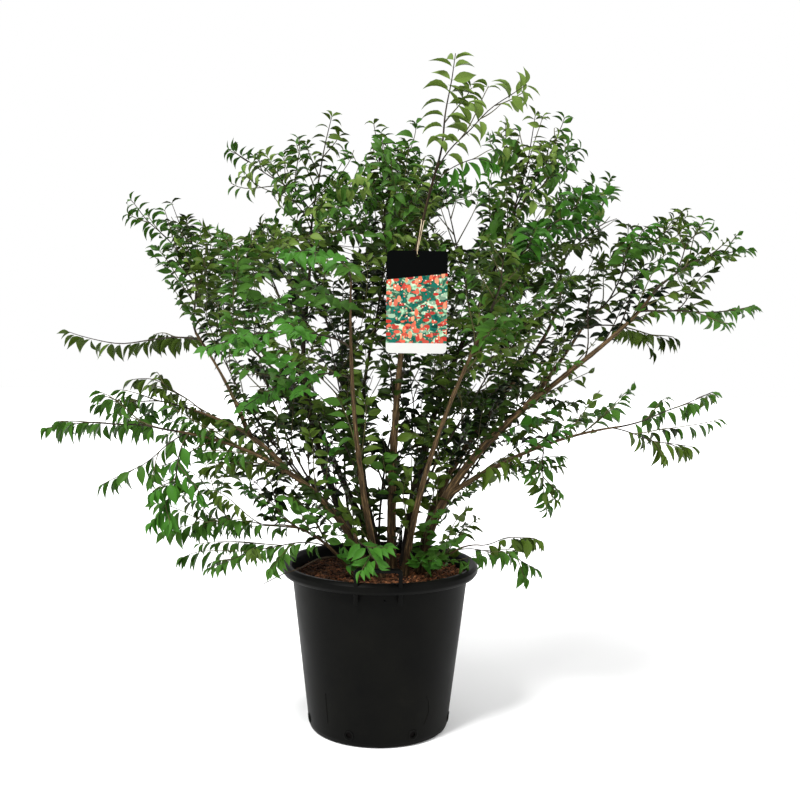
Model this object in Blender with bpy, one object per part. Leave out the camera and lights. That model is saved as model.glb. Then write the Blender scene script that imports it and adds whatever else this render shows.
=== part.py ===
"""A many-stemmed burning bush in its black nursery pot, with a hanging picture label.

The stems rise from one crown in the bark-covered soil and spread into boughs. Every mass of
foliage is one closed, uneven lobe. The origin is the middle of the pot's flat underside, +Z is
up, and -Y is the front, the side that the label faces. Lengths are in metres unless a name or
a heading says centimetres or millimetres.
"""
import math
from collections import namedtuple

import bmesh
import bpy
import numpy as np
from mathutils import Vector

CM = 0.01
MM = 0.001
GAP = 0.4 * MM
SHARP_DEG = 40.0

POT_HEIGHT = 0.340
POT_BASE_RADIUS = 0.142
POT_WALL_TOP_RADIUS = 0.179
POT_WALL = 3 * MM
POT_FLOOR = 4 * MM
POT_SIDES = 32
LIP_RADIUS = 0.200
LIP_DEPTH = 0.023
DRAIN_HOLES = 7
DRAIN_RADIUS = 7 * MM
DRAIN_HEIGHT = 24 * MM
DRAIN_FIRST_DEG = -61.0
DRAIN_CUT = 12 * MM
DRAIN_SIDES = 8
HANDLE_WIDTH = 92 * MM
HANDLE_BAR = 8 * MM
HANDLE_FOOT_Z = 0.297
HANDLE_TOP_Z = 0.371
HANDLE_LEAN_DEG = 18.0

SOIL_LEVEL = 0.315
SOIL_CLEAR = 0.5 * MM

LIMB_SIDES = 7
LIMB_RINGS = 7
ROOT_FLARE = 0.55
FLARE_HEIGHT = 0.020

MASS_SIDES = 10
MASS_RINGS = 7
MASS_BUMPS = 10
BUMP_HEIGHT = 0.30
BUMP_SPREAD = 0.22
ROUGHNESS = 0.07
CENTRE_SHARE = 0.25

LABEL_WIDTH = 0.112
LABEL_HEIGHT = 0.188
LABEL_THICK = 1.0 * MM
LABEL_CORNER = 8 * MM
LABEL_CENTRE = (0.0647, -0.1880, 0.8668)
LABEL_HOLE_RADIUS = 3 * MM
LABEL_HOLE_DROP = 8 * MM
TIE_RADIUS = 0.9 * MM
TIE_CLEAR = 2.4 * MM
TIE_SLACK = 1.06
TIE_STEM_SHARE = 0.84

Limb = namedtuple("Limb", "name foot end bow thick thin grows_from ends_in sway",
                  defaults=[(0, 0, 0)])
Mass = namedtuple("Mass", "name start end breadth depth")

# Limbs: foot on the soil in centimetres, or the share of the way up the limb that it grows from;
# end in centimetres; how far the middle lies off the straight line between them in centimetres;
# diameters in millimetres; the sway of an S-shaped limb is how far its first quarter lies off
# that bow, and its last quarter lies as far off the other way.
LIMBS = [
    Limb("stem_centre", (2.4, 1.0), (10, -20, 112), (-2.5, 0, 5), 21, 8, None, "leader_top"),
    Limb("stem_front_right", (5.0, -2.6), (18, -30, 82), (-2, 3, 0), 15, 10, None, "front_right"),
    Limb("stem_right_dark", (5.4, 4.4), (19, 8, 84), (-3, 1, 0), 24, 14, None, "mid_right"),
    Limb("stem_right_main", (8.3, 0.6), (51.5, -10, 88.5), (-2.6, -2, 5.6), 21, 12, None,
         "right_shoulder", (-2.4, 0, 0.8)),
    Limb("stem_right_back", (8.6, 4.6), (38, 18, 92), (0.7, 2, 3), 17, 10, None,
         "right_outer", (-3, 0, 0)),
    Limb("stem_left_low", (-2.2, -2.6), (-38, -17, 62), (5, -1, 5), 19, 9, None, "left_pad"),
    Limb("stem_left_leader", (-2.4, 3.6), (-16, 6, 84), (-5, 1, 2), 20, 13, None, "mid_left"),
    Limb("stem_front_left", (0.2, -4.6), (-5, -33, 90), (-2, 2, 0), 16, 9, None, "front_left_top"),
    Limb("stem_inner", (0.9, 4.4), (-2, 3, 80), (-3.5, 0, 0), 14, 9, None, "mid_centre"),
    Limb("stem_back_left", (0.6, 8.0), (-22, 28, 82), (-4, 2, 4), 17, 10, None, "back_left"),
    Limb("stem_back_right", (4.8, 8.2), (26, 30, 82), (-2, 2, 4), 17, 10, None, "back_right"),
    Limb("bough_left_upper", 0.58, (-37, -6, 65), (2, 0, 1), 13, 9,
         "stem_left_low", "left_pad"),
    Limb("bough_left_rise", 0.50, (-38, 2, 80), (1, -1, 0), 10, 7,
         "bough_left_upper", "left_shoulder"),
    Limb("bough_right_rise", 0.52, (41, 2, 83), (0, 0, -0.5), 12, 9,
         "stem_right_main", "right_outer"),
    Limb("arm_right", 0.22, (46, -12, 63.5), (0, -1, 2.5), 12, 7,
         "stem_right_main", "arm_right_tip"),
    Limb("shoot_low_left", (-4.6, -5.6), (-20, -12, 43.5), (0, 0, 3), 9, 5, None, "low_left"),
    Limb("shoot_low_right", (9.4, -3.6), (20, -7, 39), (0, 0, 2), 8, 4, None, "low_right"),
    Limb("shoot_low_front", (-2.2, -6.6), (-4, -19, 42.5), (-1.5, 0, 4), 8, 5, None, "low_front"),
]

# Masses of foliage: from one end to the other along the growth, in centimetres, then the half
# breadth across that line seen from the front and the half depth.
MASSES = [
    Mass("leader_top", (9.2, -19, 109), (13, -21, 132.5), 3.6, 3.8),
    Mass("leader_second", (11.5, -20, 113), (25.5, -33, 125), 3.5, 3.6),
    Mass("leader_left", (-14.5, 8, 101), (-10.6, 7, 128), 4, 4.2),
    Mass("top_centre", (3, -1, 96), (-1, 0, 121), 12, 16),
    Mass("top_left", (-13, 1, 96), (-31, -3, 117), 8.5, 14),
    Mass("top_right", (22, 0, 96), (33, 2, 126), 10.5, 14),
    Mass("right_top", (29, 9, 101), (53, 18, 113), 5.5, 9),
    Mass("left_shoulder", (-34, 3, 75), (-39, 5, 106), 10, 14),
    Mass("left_tip", (-40, 6, 96), (-53, 4, 110), 5.5, 8),
    Mass("mid_left", (-19, 0, 72), (-19, 0, 99), 11, 16),
    Mass("mid_centre", (0, 4, 73), (0, 4, 99), 11, 15),
    Mass("mid_right", (19, 1, 73), (22, 1, 99), 12, 16),
    Mass("right_outer", (37, 3, 79), (41, 4, 102), 10, 14),
    Mass("right_shoulder", (48, -4, 85), (58, -3, 104), 9, 12),
    Mass("right_tip_high", (58, -9, 94), (72.5, -12, 97.5), 4, 5),
    Mass("right_tip_mid", (54, -8, 87), (72.5, -14, 86.8), 3.6, 5),
    Mass("arm_right_tip", (42, -12, 62.5), (66, -15, 67), 5, 6),
    Mass("right_low", (27, -9, 60), (41, -10, 64), 5.2, 8),
    Mass("right_hanging", (30.5, -9, 60), (34, -13, 44), 4.2, 5),
    Mass("centre_right", (12, 3, 58), (15, 3, 77), 9.5, 13),
    Mass("left_lower", (-20, 4, 55), (-20, 2, 73), 9.5, 12),
    Mass("arm_left_upper", (-37, 9, 78), (-69, 14, 79.5), 3.4, 4.5),
    Mass("arm_left", (-40, -14, 62), (-64.5, -20, 62), 3.6, 5),
    Mass("left_pad", (-30, -7, 64), (-59, -4, 66), 6, 10),
    Mass("left_drop", (-35, -13, 61), (-54, -22, 51), 3.4, 5),
    Mass("left_low", (-34, -15, 61), (-38, -26, 43), 7, 8),
    Mass("low_left", (-12, -9, 44), (-38, -20, 39.5), 5.5, 9),
    Mass("low_right", (15, -6, 39), (34, -10, 37.5), 4, 7),
    Mass("low_front", (-5.5, -15, 44), (2, -27.5, 39), 3, 4.5),
    Mass("front_left_top", (-2, -31, 91), (-17, -51, 93), 4.2, 6),
    Mass("front_left_mid", (-4, -24, 81), (-30, -45, 76.5), 4.6, 6),
    Mass("front_left", (-24, -17, 80), (-24, -20, 103), 9.5, 11),
    Mass("front_right", (18, -24, 74), (22, -36, 98), 8, 10),
    Mass("back_top", (4, 18, 94), (6, 22, 119), 14, 10),
    Mass("back_left", (-20, 24, 76), (-30, 30, 106), 12, 13),
    Mass("back_right", (24, 25, 76), (32, 32, 104), 12, 13),
    Mass("back_low_left", (-13, 19, 60), (-32, 50, 72), 6, 8),
    Mass("back_low_right", (14, 20, 61), (34, 48, 70), 6, 8),
]

LEAF_COLOURS = {"bright": (0.060, 0.190, 0.030), "dark": (0.030, 0.085, 0.018),
                "green": (0.040, 0.125, 0.022)}
BARK_COLOUR = (0.120, 0.085, 0.050)


def clear_scene():
    """Remove every object that the scene holds."""
    for thing in list(bpy.data.objects):
        bpy.data.objects.remove(thing, do_unlink=True)


def material(name, colour, roughness, metallic=0.0):
    """A plain principled material of one colour."""
    made = bpy.data.materials.get(name)
    if made is None:
        made = bpy.data.materials.new(name)
        made.use_nodes = True
        shader = made.node_tree.nodes["Principled BSDF"]
        shader.inputs["Base Color"].default_value = (*colour, 1.0)
        shader.inputs["Roughness"].default_value = roughness
        shader.inputs["Metallic"].default_value = metallic
    return made


def add_object(name, points, faces, finish=None, smooth=True):
    """A mesh object of the given points and faces, with every face turned outwards."""
    mesh = bpy.data.meshes.new(name)
    mesh.from_pydata([tuple(map(float, p)) for p in points], [], faces)
    work = bmesh.new()
    work.from_mesh(mesh)
    bmesh.ops.recalc_face_normals(work, faces=work.faces)
    work.to_mesh(mesh)
    work.free()
    thing = bpy.data.objects.new(name, mesh)
    bpy.context.collection.objects.link(thing)
    if finish is not None:
        mesh.materials.append(finish)
        if smooth:
            mesh.shade_smooth()
            mesh.set_sharp_from_angle(angle=math.radians(SHARP_DEG))
    return thing


def hide_cutter(thing):
    """Mark an object as a cutter, which shapes others and is not itself a piece."""
    thing.hide_render = True
    thing.display_type = "WIRE"
    return thing


def boolean(thing, other, operation):
    """Join another object to this one, or cut it away."""
    step = thing.modifiers.new(operation.lower() + "_" + other.name, "BOOLEAN")
    step.operation = operation
    step.object = other
    step.solver = "EXACT"


def grid_faces(rows, sides):
    """Faces between rings of equal size, with a pole at each end of the list of points."""
    faces = []
    first = 1
    last = 1 + rows * sides
    for k in range(sides):
        after = (k + 1) % sides
        faces.append((0, first + after, first + k))
        top = first + (rows - 1) * sides
        faces.append((last, top + k, top + after))
        for row in range(rows - 1):
            low = first + row * sides
            faces.append((low + k, low + after, low + sides + after, low + sides + k))
    return faces


def lathe(profile, sides):
    """Points and faces of a profile of (radius, height) turned about Z, from pole to pole."""
    turns = np.arange(sides) * (2 * math.pi / sides)
    points = [(0, 0, profile[0][1])]
    for radius, height in profile[1:-1]:
        for turn in turns:
            points.append((radius * math.cos(turn), radius * math.sin(turn), height))
    points.append((0, 0, profile[-1][1]))
    return points, grid_faces(len(profile) - 2, sides)


def wall_radius(height):
    """The pot's outer wall radius at a height: a straight taper from the base to the lip."""
    share = height / (POT_HEIGHT - LIP_DEPTH)
    return POT_BASE_RADIUS + share * (POT_WALL_TOP_RADIUS - POT_BASE_RADIUS)


def box(name, size, centre, turn_z=0.0, lean=0.0):
    """A box, leaned outwards about its own width and then turned about Z."""
    points = []
    for corner in np.ndindex(2, 2, 2):
        x, y, z = [(c - 0.5) * s for c, s in zip(corner, size)]
        y, z = (y * math.cos(lean) - z * math.sin(lean), y * math.sin(lean) + z * math.cos(lean))
        x, y, z = x + centre[0], y + centre[1], z + centre[2]
        points.append((x * math.cos(turn_z) - y * math.sin(turn_z),
                       x * math.sin(turn_z) + y * math.cos(turn_z), z))
    faces = [(0, 1, 3, 2), (4, 6, 7, 5), (0, 4, 5, 1), (2, 3, 7, 6), (0, 2, 6, 4), (1, 5, 7, 3)]
    return hide_cutter(add_object(name, points, faces))


def build_pot():
    """The pot: a tapered shell with a rolled lip, drain holes and two grip handles."""
    lip_foot = POT_HEIGHT - LIP_DEPTH
    inner_top = POT_WALL_TOP_RADIUS - POT_WALL
    profile = [
        (0, 0),
        (POT_BASE_RADIUS - 8 * MM, 0),
        (POT_BASE_RADIUS - 1.5 * MM, 3 * MM),
        (wall_radius(11 * MM), 11 * MM),
        (POT_WALL_TOP_RADIUS, lip_foot),
        (LIP_RADIUS - 5 * MM, lip_foot + 1 * MM),
        (LIP_RADIUS, lip_foot + 8 * MM),
        (LIP_RADIUS - 0.5 * MM, POT_HEIGHT - 6 * MM),
        (LIP_RADIUS - 6 * MM, POT_HEIGHT),
        (LIP_RADIUS - 14 * MM, POT_HEIGHT - 0.5 * MM),
        (inner_top + 4 * MM, POT_HEIGHT - 6 * MM),
        (inner_top, lip_foot),
        (wall_radius(11 * MM) - POT_WALL, 11 * MM),
        (POT_BASE_RADIUS - 9 * MM, POT_FLOOR),
        (0, POT_FLOOR),
    ]
    plastic = material("black_plastic", (0.012, 0.012, 0.011), 0.42)
    pot = add_object("pot", *lathe(profile, POT_SIDES), plastic)
    for k in range(DRAIN_HOLES):
        turn = math.radians(DRAIN_FIRST_DEG + 360 * k / DRAIN_HOLES)
        boolean(pot, drain_cutter(k, turn), "DIFFERENCE")
    for side, turn in (("front", 0.0), ("back", math.pi)):
        for piece in handle_pieces(side, turn):
            boolean(pot, piece, "UNION")
    return pot


def drain_cutter(index, turn):
    """An eight-sided rod that goes out through the wall at one drain hole."""
    outward = np.array([math.cos(turn), math.sin(turn), 0])
    middle = outward * wall_radius(DRAIN_HEIGHT) + (0, 0, DRAIN_HEIGHT)
    rod = middle + np.outer([-DRAIN_CUT, 0, DRAIN_CUT], outward)
    points, faces = tube(rod, np.full(3, DRAIN_RADIUS), DRAIN_SIDES)
    return hide_cutter(add_object("drain_cutter_%d" % index, points, faces))


def handle_pieces(side, turn):
    """Two posts and a bar that lean outwards past the lip, for one grip handle."""
    lean = math.radians(HANDLE_LEAN_DEG)
    height = (HANDLE_TOP_Z - HANDLE_FOOT_Z) / math.cos(lean)
    middle_z = (HANDLE_TOP_Z + HANDLE_FOOT_Z) / 2
    middle_r = POT_WALL_TOP_RADIUS + height / 2 * math.sin(lean)
    top_r = middle_r + (height - HANDLE_BAR) / 2 * math.sin(lean)
    top_z = middle_z + (height - HANDLE_BAR) / 2 * math.cos(lean)
    pieces = []
    for end, place in (("left", -1), ("right", 1)):
        x = place * (HANDLE_WIDTH - HANDLE_BAR) / 2
        pieces.append(box("post_%s_%s" % (side, end), (HANDLE_BAR, HANDLE_BAR, height),
                          (x, -middle_r, middle_z), turn, lean))
    pieces.append(box("bar_" + side, (HANDLE_WIDTH - HANDLE_BAR, HANDLE_BAR * 0.9, HANDLE_BAR * 0.9),
                      (0, -top_r, top_z), turn, lean))
    return pieces


def build_soil():
    """The root ball: it fills the pot to the soil level, a little clear of the wall."""
    inset = POT_WALL + SOIL_CLEAR
    profile = [
        (0, POT_FLOOR + GAP),
        (POT_BASE_RADIUS - 11 * MM, POT_FLOOR + GAP),
        (wall_radius(12 * MM) - inset, 12 * MM),
        (wall_radius(SOIL_LEVEL) - inset, SOIL_LEVEL),
        (0, SOIL_LEVEL),
    ]
    bark_mulch = material("bark_mulch", (0.130, 0.050, 0.028), 0.95)
    return add_object("soil", *lathe(profile, POT_SIDES), bark_mulch)


def limb_named(name):
    """The row of the limb of that name."""
    return next(limb for limb in LIMBS if limb.name == name)


def limb_ends(limb):
    """Foot and end of a limb in metres."""
    if limb.grows_from is None:
        foot = np.array([limb.foot[0] * CM, limb.foot[1] * CM, SOIL_LEVEL + GAP])
    else:
        foot = fork_point(limb_named(limb.grows_from), limb.foot)
    return foot, np.array(limb.end, float) * CM


def limb_path(limb, shares):
    """Points of a limb at shares of the way up, from 0 to 1.

    The straight line from foot to end, plus the bow as a parabola that is 1 half way, plus the
    sway as a cubic that is 1 at the first quarter, 0 half way and -1 at the last quarter.
    """
    foot, end = limb_ends(limb)
    t = np.asarray(shares, float)[:, None]
    bow = 4 * t * (1 - t) * np.array(limb.bow, float) * CM
    sway = 32 / 3 * t * (1 - t) * (1 - 2 * t) * np.array(limb.sway, float) * CM
    return foot + (end - foot) * t + bow + sway


def fork_point(limb, share):
    """The point at a share of the way up the straight runs between a limb's rings."""
    shares = np.linspace(0, 1, LIMB_RINGS)
    path = limb_path(limb, shares)
    return np.array([np.interp(share, shares, path[:, axis]) for axis in range(3)])


def limb_radii(limb, path, shares):
    """Radius along a limb: an even taper, with a root flare where it stands on the soil."""
    radii = (limb.thick + (limb.thin - limb.thick) * np.asarray(shares)) * MM / 2
    if limb.grows_from is None:
        radii = radii * (1 + ROOT_FLARE * np.exp(-(path[:, 2] - SOIL_LEVEL) / FLARE_HEIGHT))
    return radii


def tube(path, radii, sides, level_foot=False):
    """Points and faces of a round tube along a path, closed by a pole at each end."""
    along = np.gradient(path, axis=0)
    along /= np.linalg.norm(along, axis=1)[:, None]
    across = np.cross(along, (0.31, 0.87, 0.38))
    across /= np.linalg.norm(across, axis=1)[:, None]
    up = np.cross(along, across)
    if level_foot:
        across[0] = (1, 0, 0)
        up[0] = (0, 1, 0)
    turns = np.arange(sides) * (2 * math.pi / sides)
    ring = (across[:, None] * np.cos(turns)[None, :, None]
            + up[:, None] * np.sin(turns)[None, :, None])
    points = path[:, None] + ring * radii[:, None, None]
    body = points.reshape(-1, 3)
    return np.vstack([path[:1], body, path[-1:]]), grid_faces(len(path), sides)


def build_limb(limb, finish):
    """One tapering limb."""
    shares = np.linspace(0, 1, LIMB_RINGS)
    if limb.grows_from is None:
        shares = np.concatenate([[0, 0.04], shares[1:]])
    path = limb_path(limb, shares)
    radii = limb_radii(limb, path, shares)
    points, faces = tube(path, radii, LIMB_SIDES, limb.grows_from is None)
    return add_object(limb.name, points, faces, finish)


def limb_cutter(limb):
    """The limb again, a gap thicker, to cut what it passes through."""
    shares = np.linspace(0, 1, LIMB_RINGS)
    path = limb_path(limb, shares)
    radii = limb_radii(limb, path, shares) + 1.5 * GAP
    points, faces = tube(path, radii, LIMB_SIDES)
    return hide_cutter(add_object(limb.name + "_cutter", points, faces))


def mass_points(mass, seed):
    """Points of an uneven lobe that swells along the line from its start to its end."""
    start = np.array(mass.start, float) * CM
    end = np.array(mass.end, float) * CM
    line = end - start
    length = np.linalg.norm(line)
    along = line / length
    across = np.cross(along, (0, 1, 0))
    across /= np.linalg.norm(across)
    deep = np.cross(along, across)
    theta = np.linspace(0, math.pi, MASS_RINGS + 2)[1:-1]
    turns = np.arange(MASS_SIDES) * (2 * math.pi / MASS_SIDES)
    local = np.stack(np.broadcast_arrays(
        -np.cos(theta)[:, None],
        np.sin(theta)[:, None] * np.cos(turns)[None],
        np.sin(theta)[:, None] * np.sin(turns)[None]), -1).reshape(-1, 3)
    local = np.vstack([[(-1, 0, 0)], local, [(1, 0, 0)]])
    rng = np.random.default_rng(seed)
    bumps = rng.normal(size=(MASS_BUMPS, 3))
    bumps /= np.linalg.norm(bumps, axis=1)[:, None]
    heights = rng.uniform(-1, 1, MASS_BUMPS) * BUMP_HEIGHT
    swell = (heights * np.exp((local @ bumps.T - 1) / BUMP_SPREAD)).sum(1)
    swell += rng.uniform(-ROUGHNESS, ROUGHNESS, len(local))
    sideways = local * (1, mass.breadth * CM / (length / 2), mass.depth * CM / (length / 2))
    sideways[:, 1:] *= (1 + swell)[:, None]
    frame = np.stack([along, across, deep])
    return (start + end) / 2, sideways @ frame * (length / 2)


def directions(count):
    """Evenly spread directions over a sphere, on a spiral from pole to pole."""
    k = np.arange(count) + 0.5
    tilt = np.arccos(1 - 2 * k / count)
    turn = math.pi * (1 + 5 ** 0.5) * k
    return np.stack([np.cos(turn) * np.sin(tilt), np.sin(turn) * np.sin(tilt), np.cos(tilt)], 1)


def part_masses(centres, reaches):
    """Trim lobes that run into each other.

    Each such pair is parted by the flat plane along the direction in which the two overlap
    least, half way through the overlap, and every point past it is drawn back towards its own
    lobe's centre until it lies on its own side.
    """
    probes = directions(400)
    solids = [c + r for c, r in zip(centres, reaches)]
    planes = [[] for _ in centres]
    for i in range(len(centres)):
        for j in range(i + 1, len(centres)):
            far = (solids[i] @ probes.T).max(0)
            near = (solids[j] @ probes.T).min(0)
            overlap = far - near
            if overlap.min() < -GAP:
                continue
            split = (far + near) / 2
            room_i = split - centres[i] @ probes.T - CENTRE_SHARE * (far - centres[i] @ probes.T)
            room_j = centres[j] @ probes.T - split - CENTRE_SHARE * (centres[j] @ probes.T - near)
            overlap[(room_i < 0) | (room_j < 0)] = np.inf
            best = int(np.argmin(overlap))
            planes[i].append((probes[best], split[best] - GAP / 2))
            planes[j].append((-probes[best], -split[best] - GAP / 2))
    trimmed = []
    for centre, reach, limits in zip(centres, reaches, planes):
        scale = np.ones(len(reach))
        for normal, offset in limits:
            span = reach @ normal
            room = offset - centre @ normal
            scale = np.minimum(scale, np.where(span > room, room / np.maximum(span, 1e-9), 1.0))
        trimmed.append(centre + reach * scale[:, None])
    return trimmed


def swollen(points, faces, amount):
    """The same closed shape with every point moved out along its normal."""
    normals = np.zeros_like(points)
    for face in faces:
        corners = points[list(face)]
        normal = np.cross(corners[1] - corners[0], corners[-1] - corners[0])
        normals[list(face)] += normal / max(np.linalg.norm(normal), 1e-12)
    if (normals * (points - points.mean(0))).sum() < 0:
        normals = -normals
    normals /= np.linalg.norm(normals, axis=1)[:, None]
    return points + normals * amount


def build_masses():
    """Every mass of foliage, parted from its neighbours, with a cutter of each."""
    centres, reaches = zip(*[mass_points(mass, seed) for seed, mass in enumerate(MASSES)])
    faces = grid_faces(MASS_RINGS, MASS_SIDES)
    built, cutters = {}, {}
    for mass, points in zip(MASSES, part_masses(centres, reaches)):
        tint = "bright" if "front" in mass.name else "dark" if "back" in mass.name else "green"
        finish = material("leaves_" + tint, LEAF_COLOURS[tint], 0.6)
        built[mass.name] = add_object(mass.name, points, faces, finish, smooth=False)
        cutters[mass.name] = hide_cutter(
            add_object(mass.name + "_cutter", swollen(points, faces, 1.3 * GAP), faces))
    return built, cutters


def reach_box(thing):
    """Lowest and highest corner of an object's own mesh."""
    points = np.array([v.co for v in thing.data.vertices])
    return points.min(0), points.max(0)


def boxes_meet(one, other):
    """Whether the boxes of two objects overlap."""
    low_a, high_a = reach_box(one)
    low_b, high_b = reach_box(other)
    return bool(np.all(low_a < high_b + GAP) and np.all(low_b < high_a + GAP))


def limb_meets_mass(limb, mass_object):
    """Whether a limb's tube comes inside a mass or as near as the gap."""
    shares = np.linspace(0, 1, 60)
    path = limb_path(limb, shares)
    radii = limb_radii(limb, path, shares)
    for spot, radius in zip(path, radii):
        found, nearest, normal, _ = mass_object.closest_point_on_mesh(Vector(spot))
        inside = (Vector(spot) - nearest).dot(normal) < 0
        if found and (inside or (Vector(spot) - nearest).length < radius + 2 * GAP):
            return True
    return False


def build_limbs_and_masses():
    """Stems, boughs and masses, each cut where it meets the next.

    A limb ends in the mass that it carries, and every other mass that it meets is cut round it.
    """
    bark = material("bark", BARK_COLOUR, 0.85)
    masses, mass_cutters = build_masses()
    limbs = {limb.name: build_limb(limb, bark) for limb in LIMBS}
    cutters = {limb.name: limb_cutter(limb) for limb in LIMBS}
    bpy.context.view_layer.update()
    for limb in LIMBS:
        if limb.grows_from is not None:
            boolean(limbs[limb.name], cutters[limb.grows_from], "DIFFERENCE")
        boolean(limbs[limb.name], mass_cutters[limb.ends_in], "DIFFERENCE")
        for name, mass in masses.items():
            if name == limb.ends_in or not boxes_meet(limbs[limb.name], mass):
                continue
            if limb_meets_mass(limb, mass):
                boolean(mass, cutters[limb.name], "DIFFERENCE")


def build_label():
    """The label card: a thin upright plate with round corners and a hole for its tie."""
    half_w, half_h = LABEL_WIDTH / 2, LABEL_HEIGHT / 2
    outline = []
    for quarter, (sx, sz) in enumerate(((1, 1), (-1, 1), (-1, -1), (1, -1))):
        for k in range(4):
            angle = math.radians(90 * quarter + 30 * k)
            outline.append((sx * (half_w - LABEL_CORNER) + LABEL_CORNER * math.cos(angle),
                            sz * (half_h - LABEL_CORNER) + LABEL_CORNER * math.sin(angle)))
    count = len(outline)
    points = [(x, -LABEL_THICK / 2, z) for x, z in outline]
    points += [(x, LABEL_THICK / 2, z) for x, z in outline]
    faces = [tuple(range(count)), tuple(reversed(range(count, 2 * count)))]
    faces += [(k, (k + 1) % count, count + (k + 1) % count, count + k) for k in range(count)]
    plastic = material("label_card", (0.80, 0.78, 0.72), 0.35)
    card = add_object("label_card", np.array(points) + LABEL_CENTRE, faces, plastic)
    hole = np.array(LABEL_CENTRE) + (0, 0, half_h - LABEL_HOLE_DROP)
    rod = np.array([hole - (0, 5 * MM, 0), hole, hole + (0, 5 * MM, 0)])
    points, faces = tube(rod, np.full(3, LABEL_HOLE_RADIUS), 10)
    boolean(card, hide_cutter(add_object("label_hole", points, faces)), "DIFFERENCE")


def build_tie():
    """The label's tie: up from the hole, round behind the stem and down again behind the card."""
    leader = LIMBS[0]
    spot = limb_path(leader, [TIE_STEM_SHARE])
    ring = limb_radii(leader, spot, [TIE_STEM_SHARE])[0] + TIE_RADIUS + GAP
    hole = np.array(LABEL_CENTRE) + (0, 0, LABEL_HEIGHT / 2 - LABEL_HOLE_DROP)
    lead = spot[0] - limb_path(leader, [TIE_STEM_SHARE - 0.01])[0]
    lead /= np.linalg.norm(lead)
    side = np.cross(lead, (0, 1, 0))
    side /= np.linalg.norm(side)
    away = np.cross(lead, side)
    away *= np.sign(away[1])
    arc = [spot[0] + ring * TIE_SLACK * (away * math.sin(a) - side * math.cos(a))
           for a in np.radians(np.arange(-60, 241, 30))]
    arc = arc[::-1] if arc[0][0] > arc[-1][0] else arc
    stand_off = np.array([0, TIE_CLEAR, 0])
    over_edge = np.array([0, 0, LABEL_HOLE_DROP + TIE_CLEAR])
    spread = np.array([TIE_CLEAR / 2, 0, 0])
    hung = hole + (0, 0, LABEL_HOLE_RADIUS - TIE_RADIUS - GAP)
    front = [hung - stand_off, hole - stand_off - spread + over_edge]
    behind = [hole + stand_off + spread + over_edge, hung + stand_off]
    string = material("label_tie", (0.62, 0.52, 0.38), 0.8)
    points = ring_tube(np.array(front + arc + behind), TIE_RADIUS, 6)
    add_object("label_tie", *points, string)


def ring_tube(path, radius, sides):
    """Points and faces of a round tube along a closed loop of points."""
    along = np.roll(path, -1, axis=0) - np.roll(path, 1, axis=0)
    along /= np.linalg.norm(along, axis=1)[:, None]
    across = np.cross(along, (1, 0.2, 0.1))
    across /= np.linalg.norm(across, axis=1)[:, None]
    up = np.cross(along, across)
    turns = np.arange(sides) * (2 * math.pi / sides)
    ring = (across[:, None] * np.cos(turns)[None, :, None]
            + up[:, None] * np.sin(turns)[None, :, None])
    points = (path[:, None] + ring * radius).reshape(-1, 3)
    count = len(path)
    faces = []
    for row in range(count):
        for k in range(sides):
            after, below = (k + 1) % sides, (row + 1) % count
            faces.append((row * sides + k, row * sides + after,
                          below * sides + after, below * sides + k))
    return points, faces


clear_scene()
build_pot()
build_soil()
build_limbs_and_masses()
build_label()
build_tie()
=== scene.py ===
"""A burning bush in its black nursery pot, with a hanging picture label, dressed round the frame.

Lengths are in metres unless a name or a heading says centimetres or millimetres. The origin is the
middle of the pot's flat underside, +Z is up, and -Y is the front, which the label faces.
"""
import math
from collections import namedtuple

import bmesh
import bpy
import numpy as np
from mathutils import Matrix, Vector
from mathutils.bvhtree import BVHTree


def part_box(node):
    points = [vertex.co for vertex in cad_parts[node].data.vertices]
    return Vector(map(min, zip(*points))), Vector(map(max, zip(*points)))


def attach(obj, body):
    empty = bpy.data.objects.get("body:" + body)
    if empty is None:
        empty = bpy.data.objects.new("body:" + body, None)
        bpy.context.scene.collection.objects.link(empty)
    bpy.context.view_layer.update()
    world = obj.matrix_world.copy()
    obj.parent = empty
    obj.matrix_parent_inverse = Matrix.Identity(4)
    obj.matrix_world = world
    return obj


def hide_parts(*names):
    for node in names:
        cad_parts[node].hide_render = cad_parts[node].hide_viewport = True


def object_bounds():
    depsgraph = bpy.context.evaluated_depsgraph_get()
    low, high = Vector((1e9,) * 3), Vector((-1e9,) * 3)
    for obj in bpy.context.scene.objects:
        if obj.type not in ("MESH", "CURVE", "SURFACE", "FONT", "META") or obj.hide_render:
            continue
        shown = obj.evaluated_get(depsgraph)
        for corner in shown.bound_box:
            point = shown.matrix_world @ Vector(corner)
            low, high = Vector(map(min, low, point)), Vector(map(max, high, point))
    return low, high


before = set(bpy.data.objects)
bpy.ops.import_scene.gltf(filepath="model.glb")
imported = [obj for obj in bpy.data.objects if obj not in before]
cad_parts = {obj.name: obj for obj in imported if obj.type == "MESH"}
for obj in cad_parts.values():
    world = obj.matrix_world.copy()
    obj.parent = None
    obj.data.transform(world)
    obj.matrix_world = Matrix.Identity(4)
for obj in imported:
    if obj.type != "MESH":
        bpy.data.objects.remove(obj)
CAD_BOX = [list(corner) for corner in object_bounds()]

CM = 0.01
MM = 0.001
UP = np.array([0.0, 0.0, 1.0])
GROWTH_SEED = 11
SOIL_SEED = 5

RIPPLE_WAVES = 7
ARC_POINTS = 6
MOST_CUT = 0.49

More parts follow.
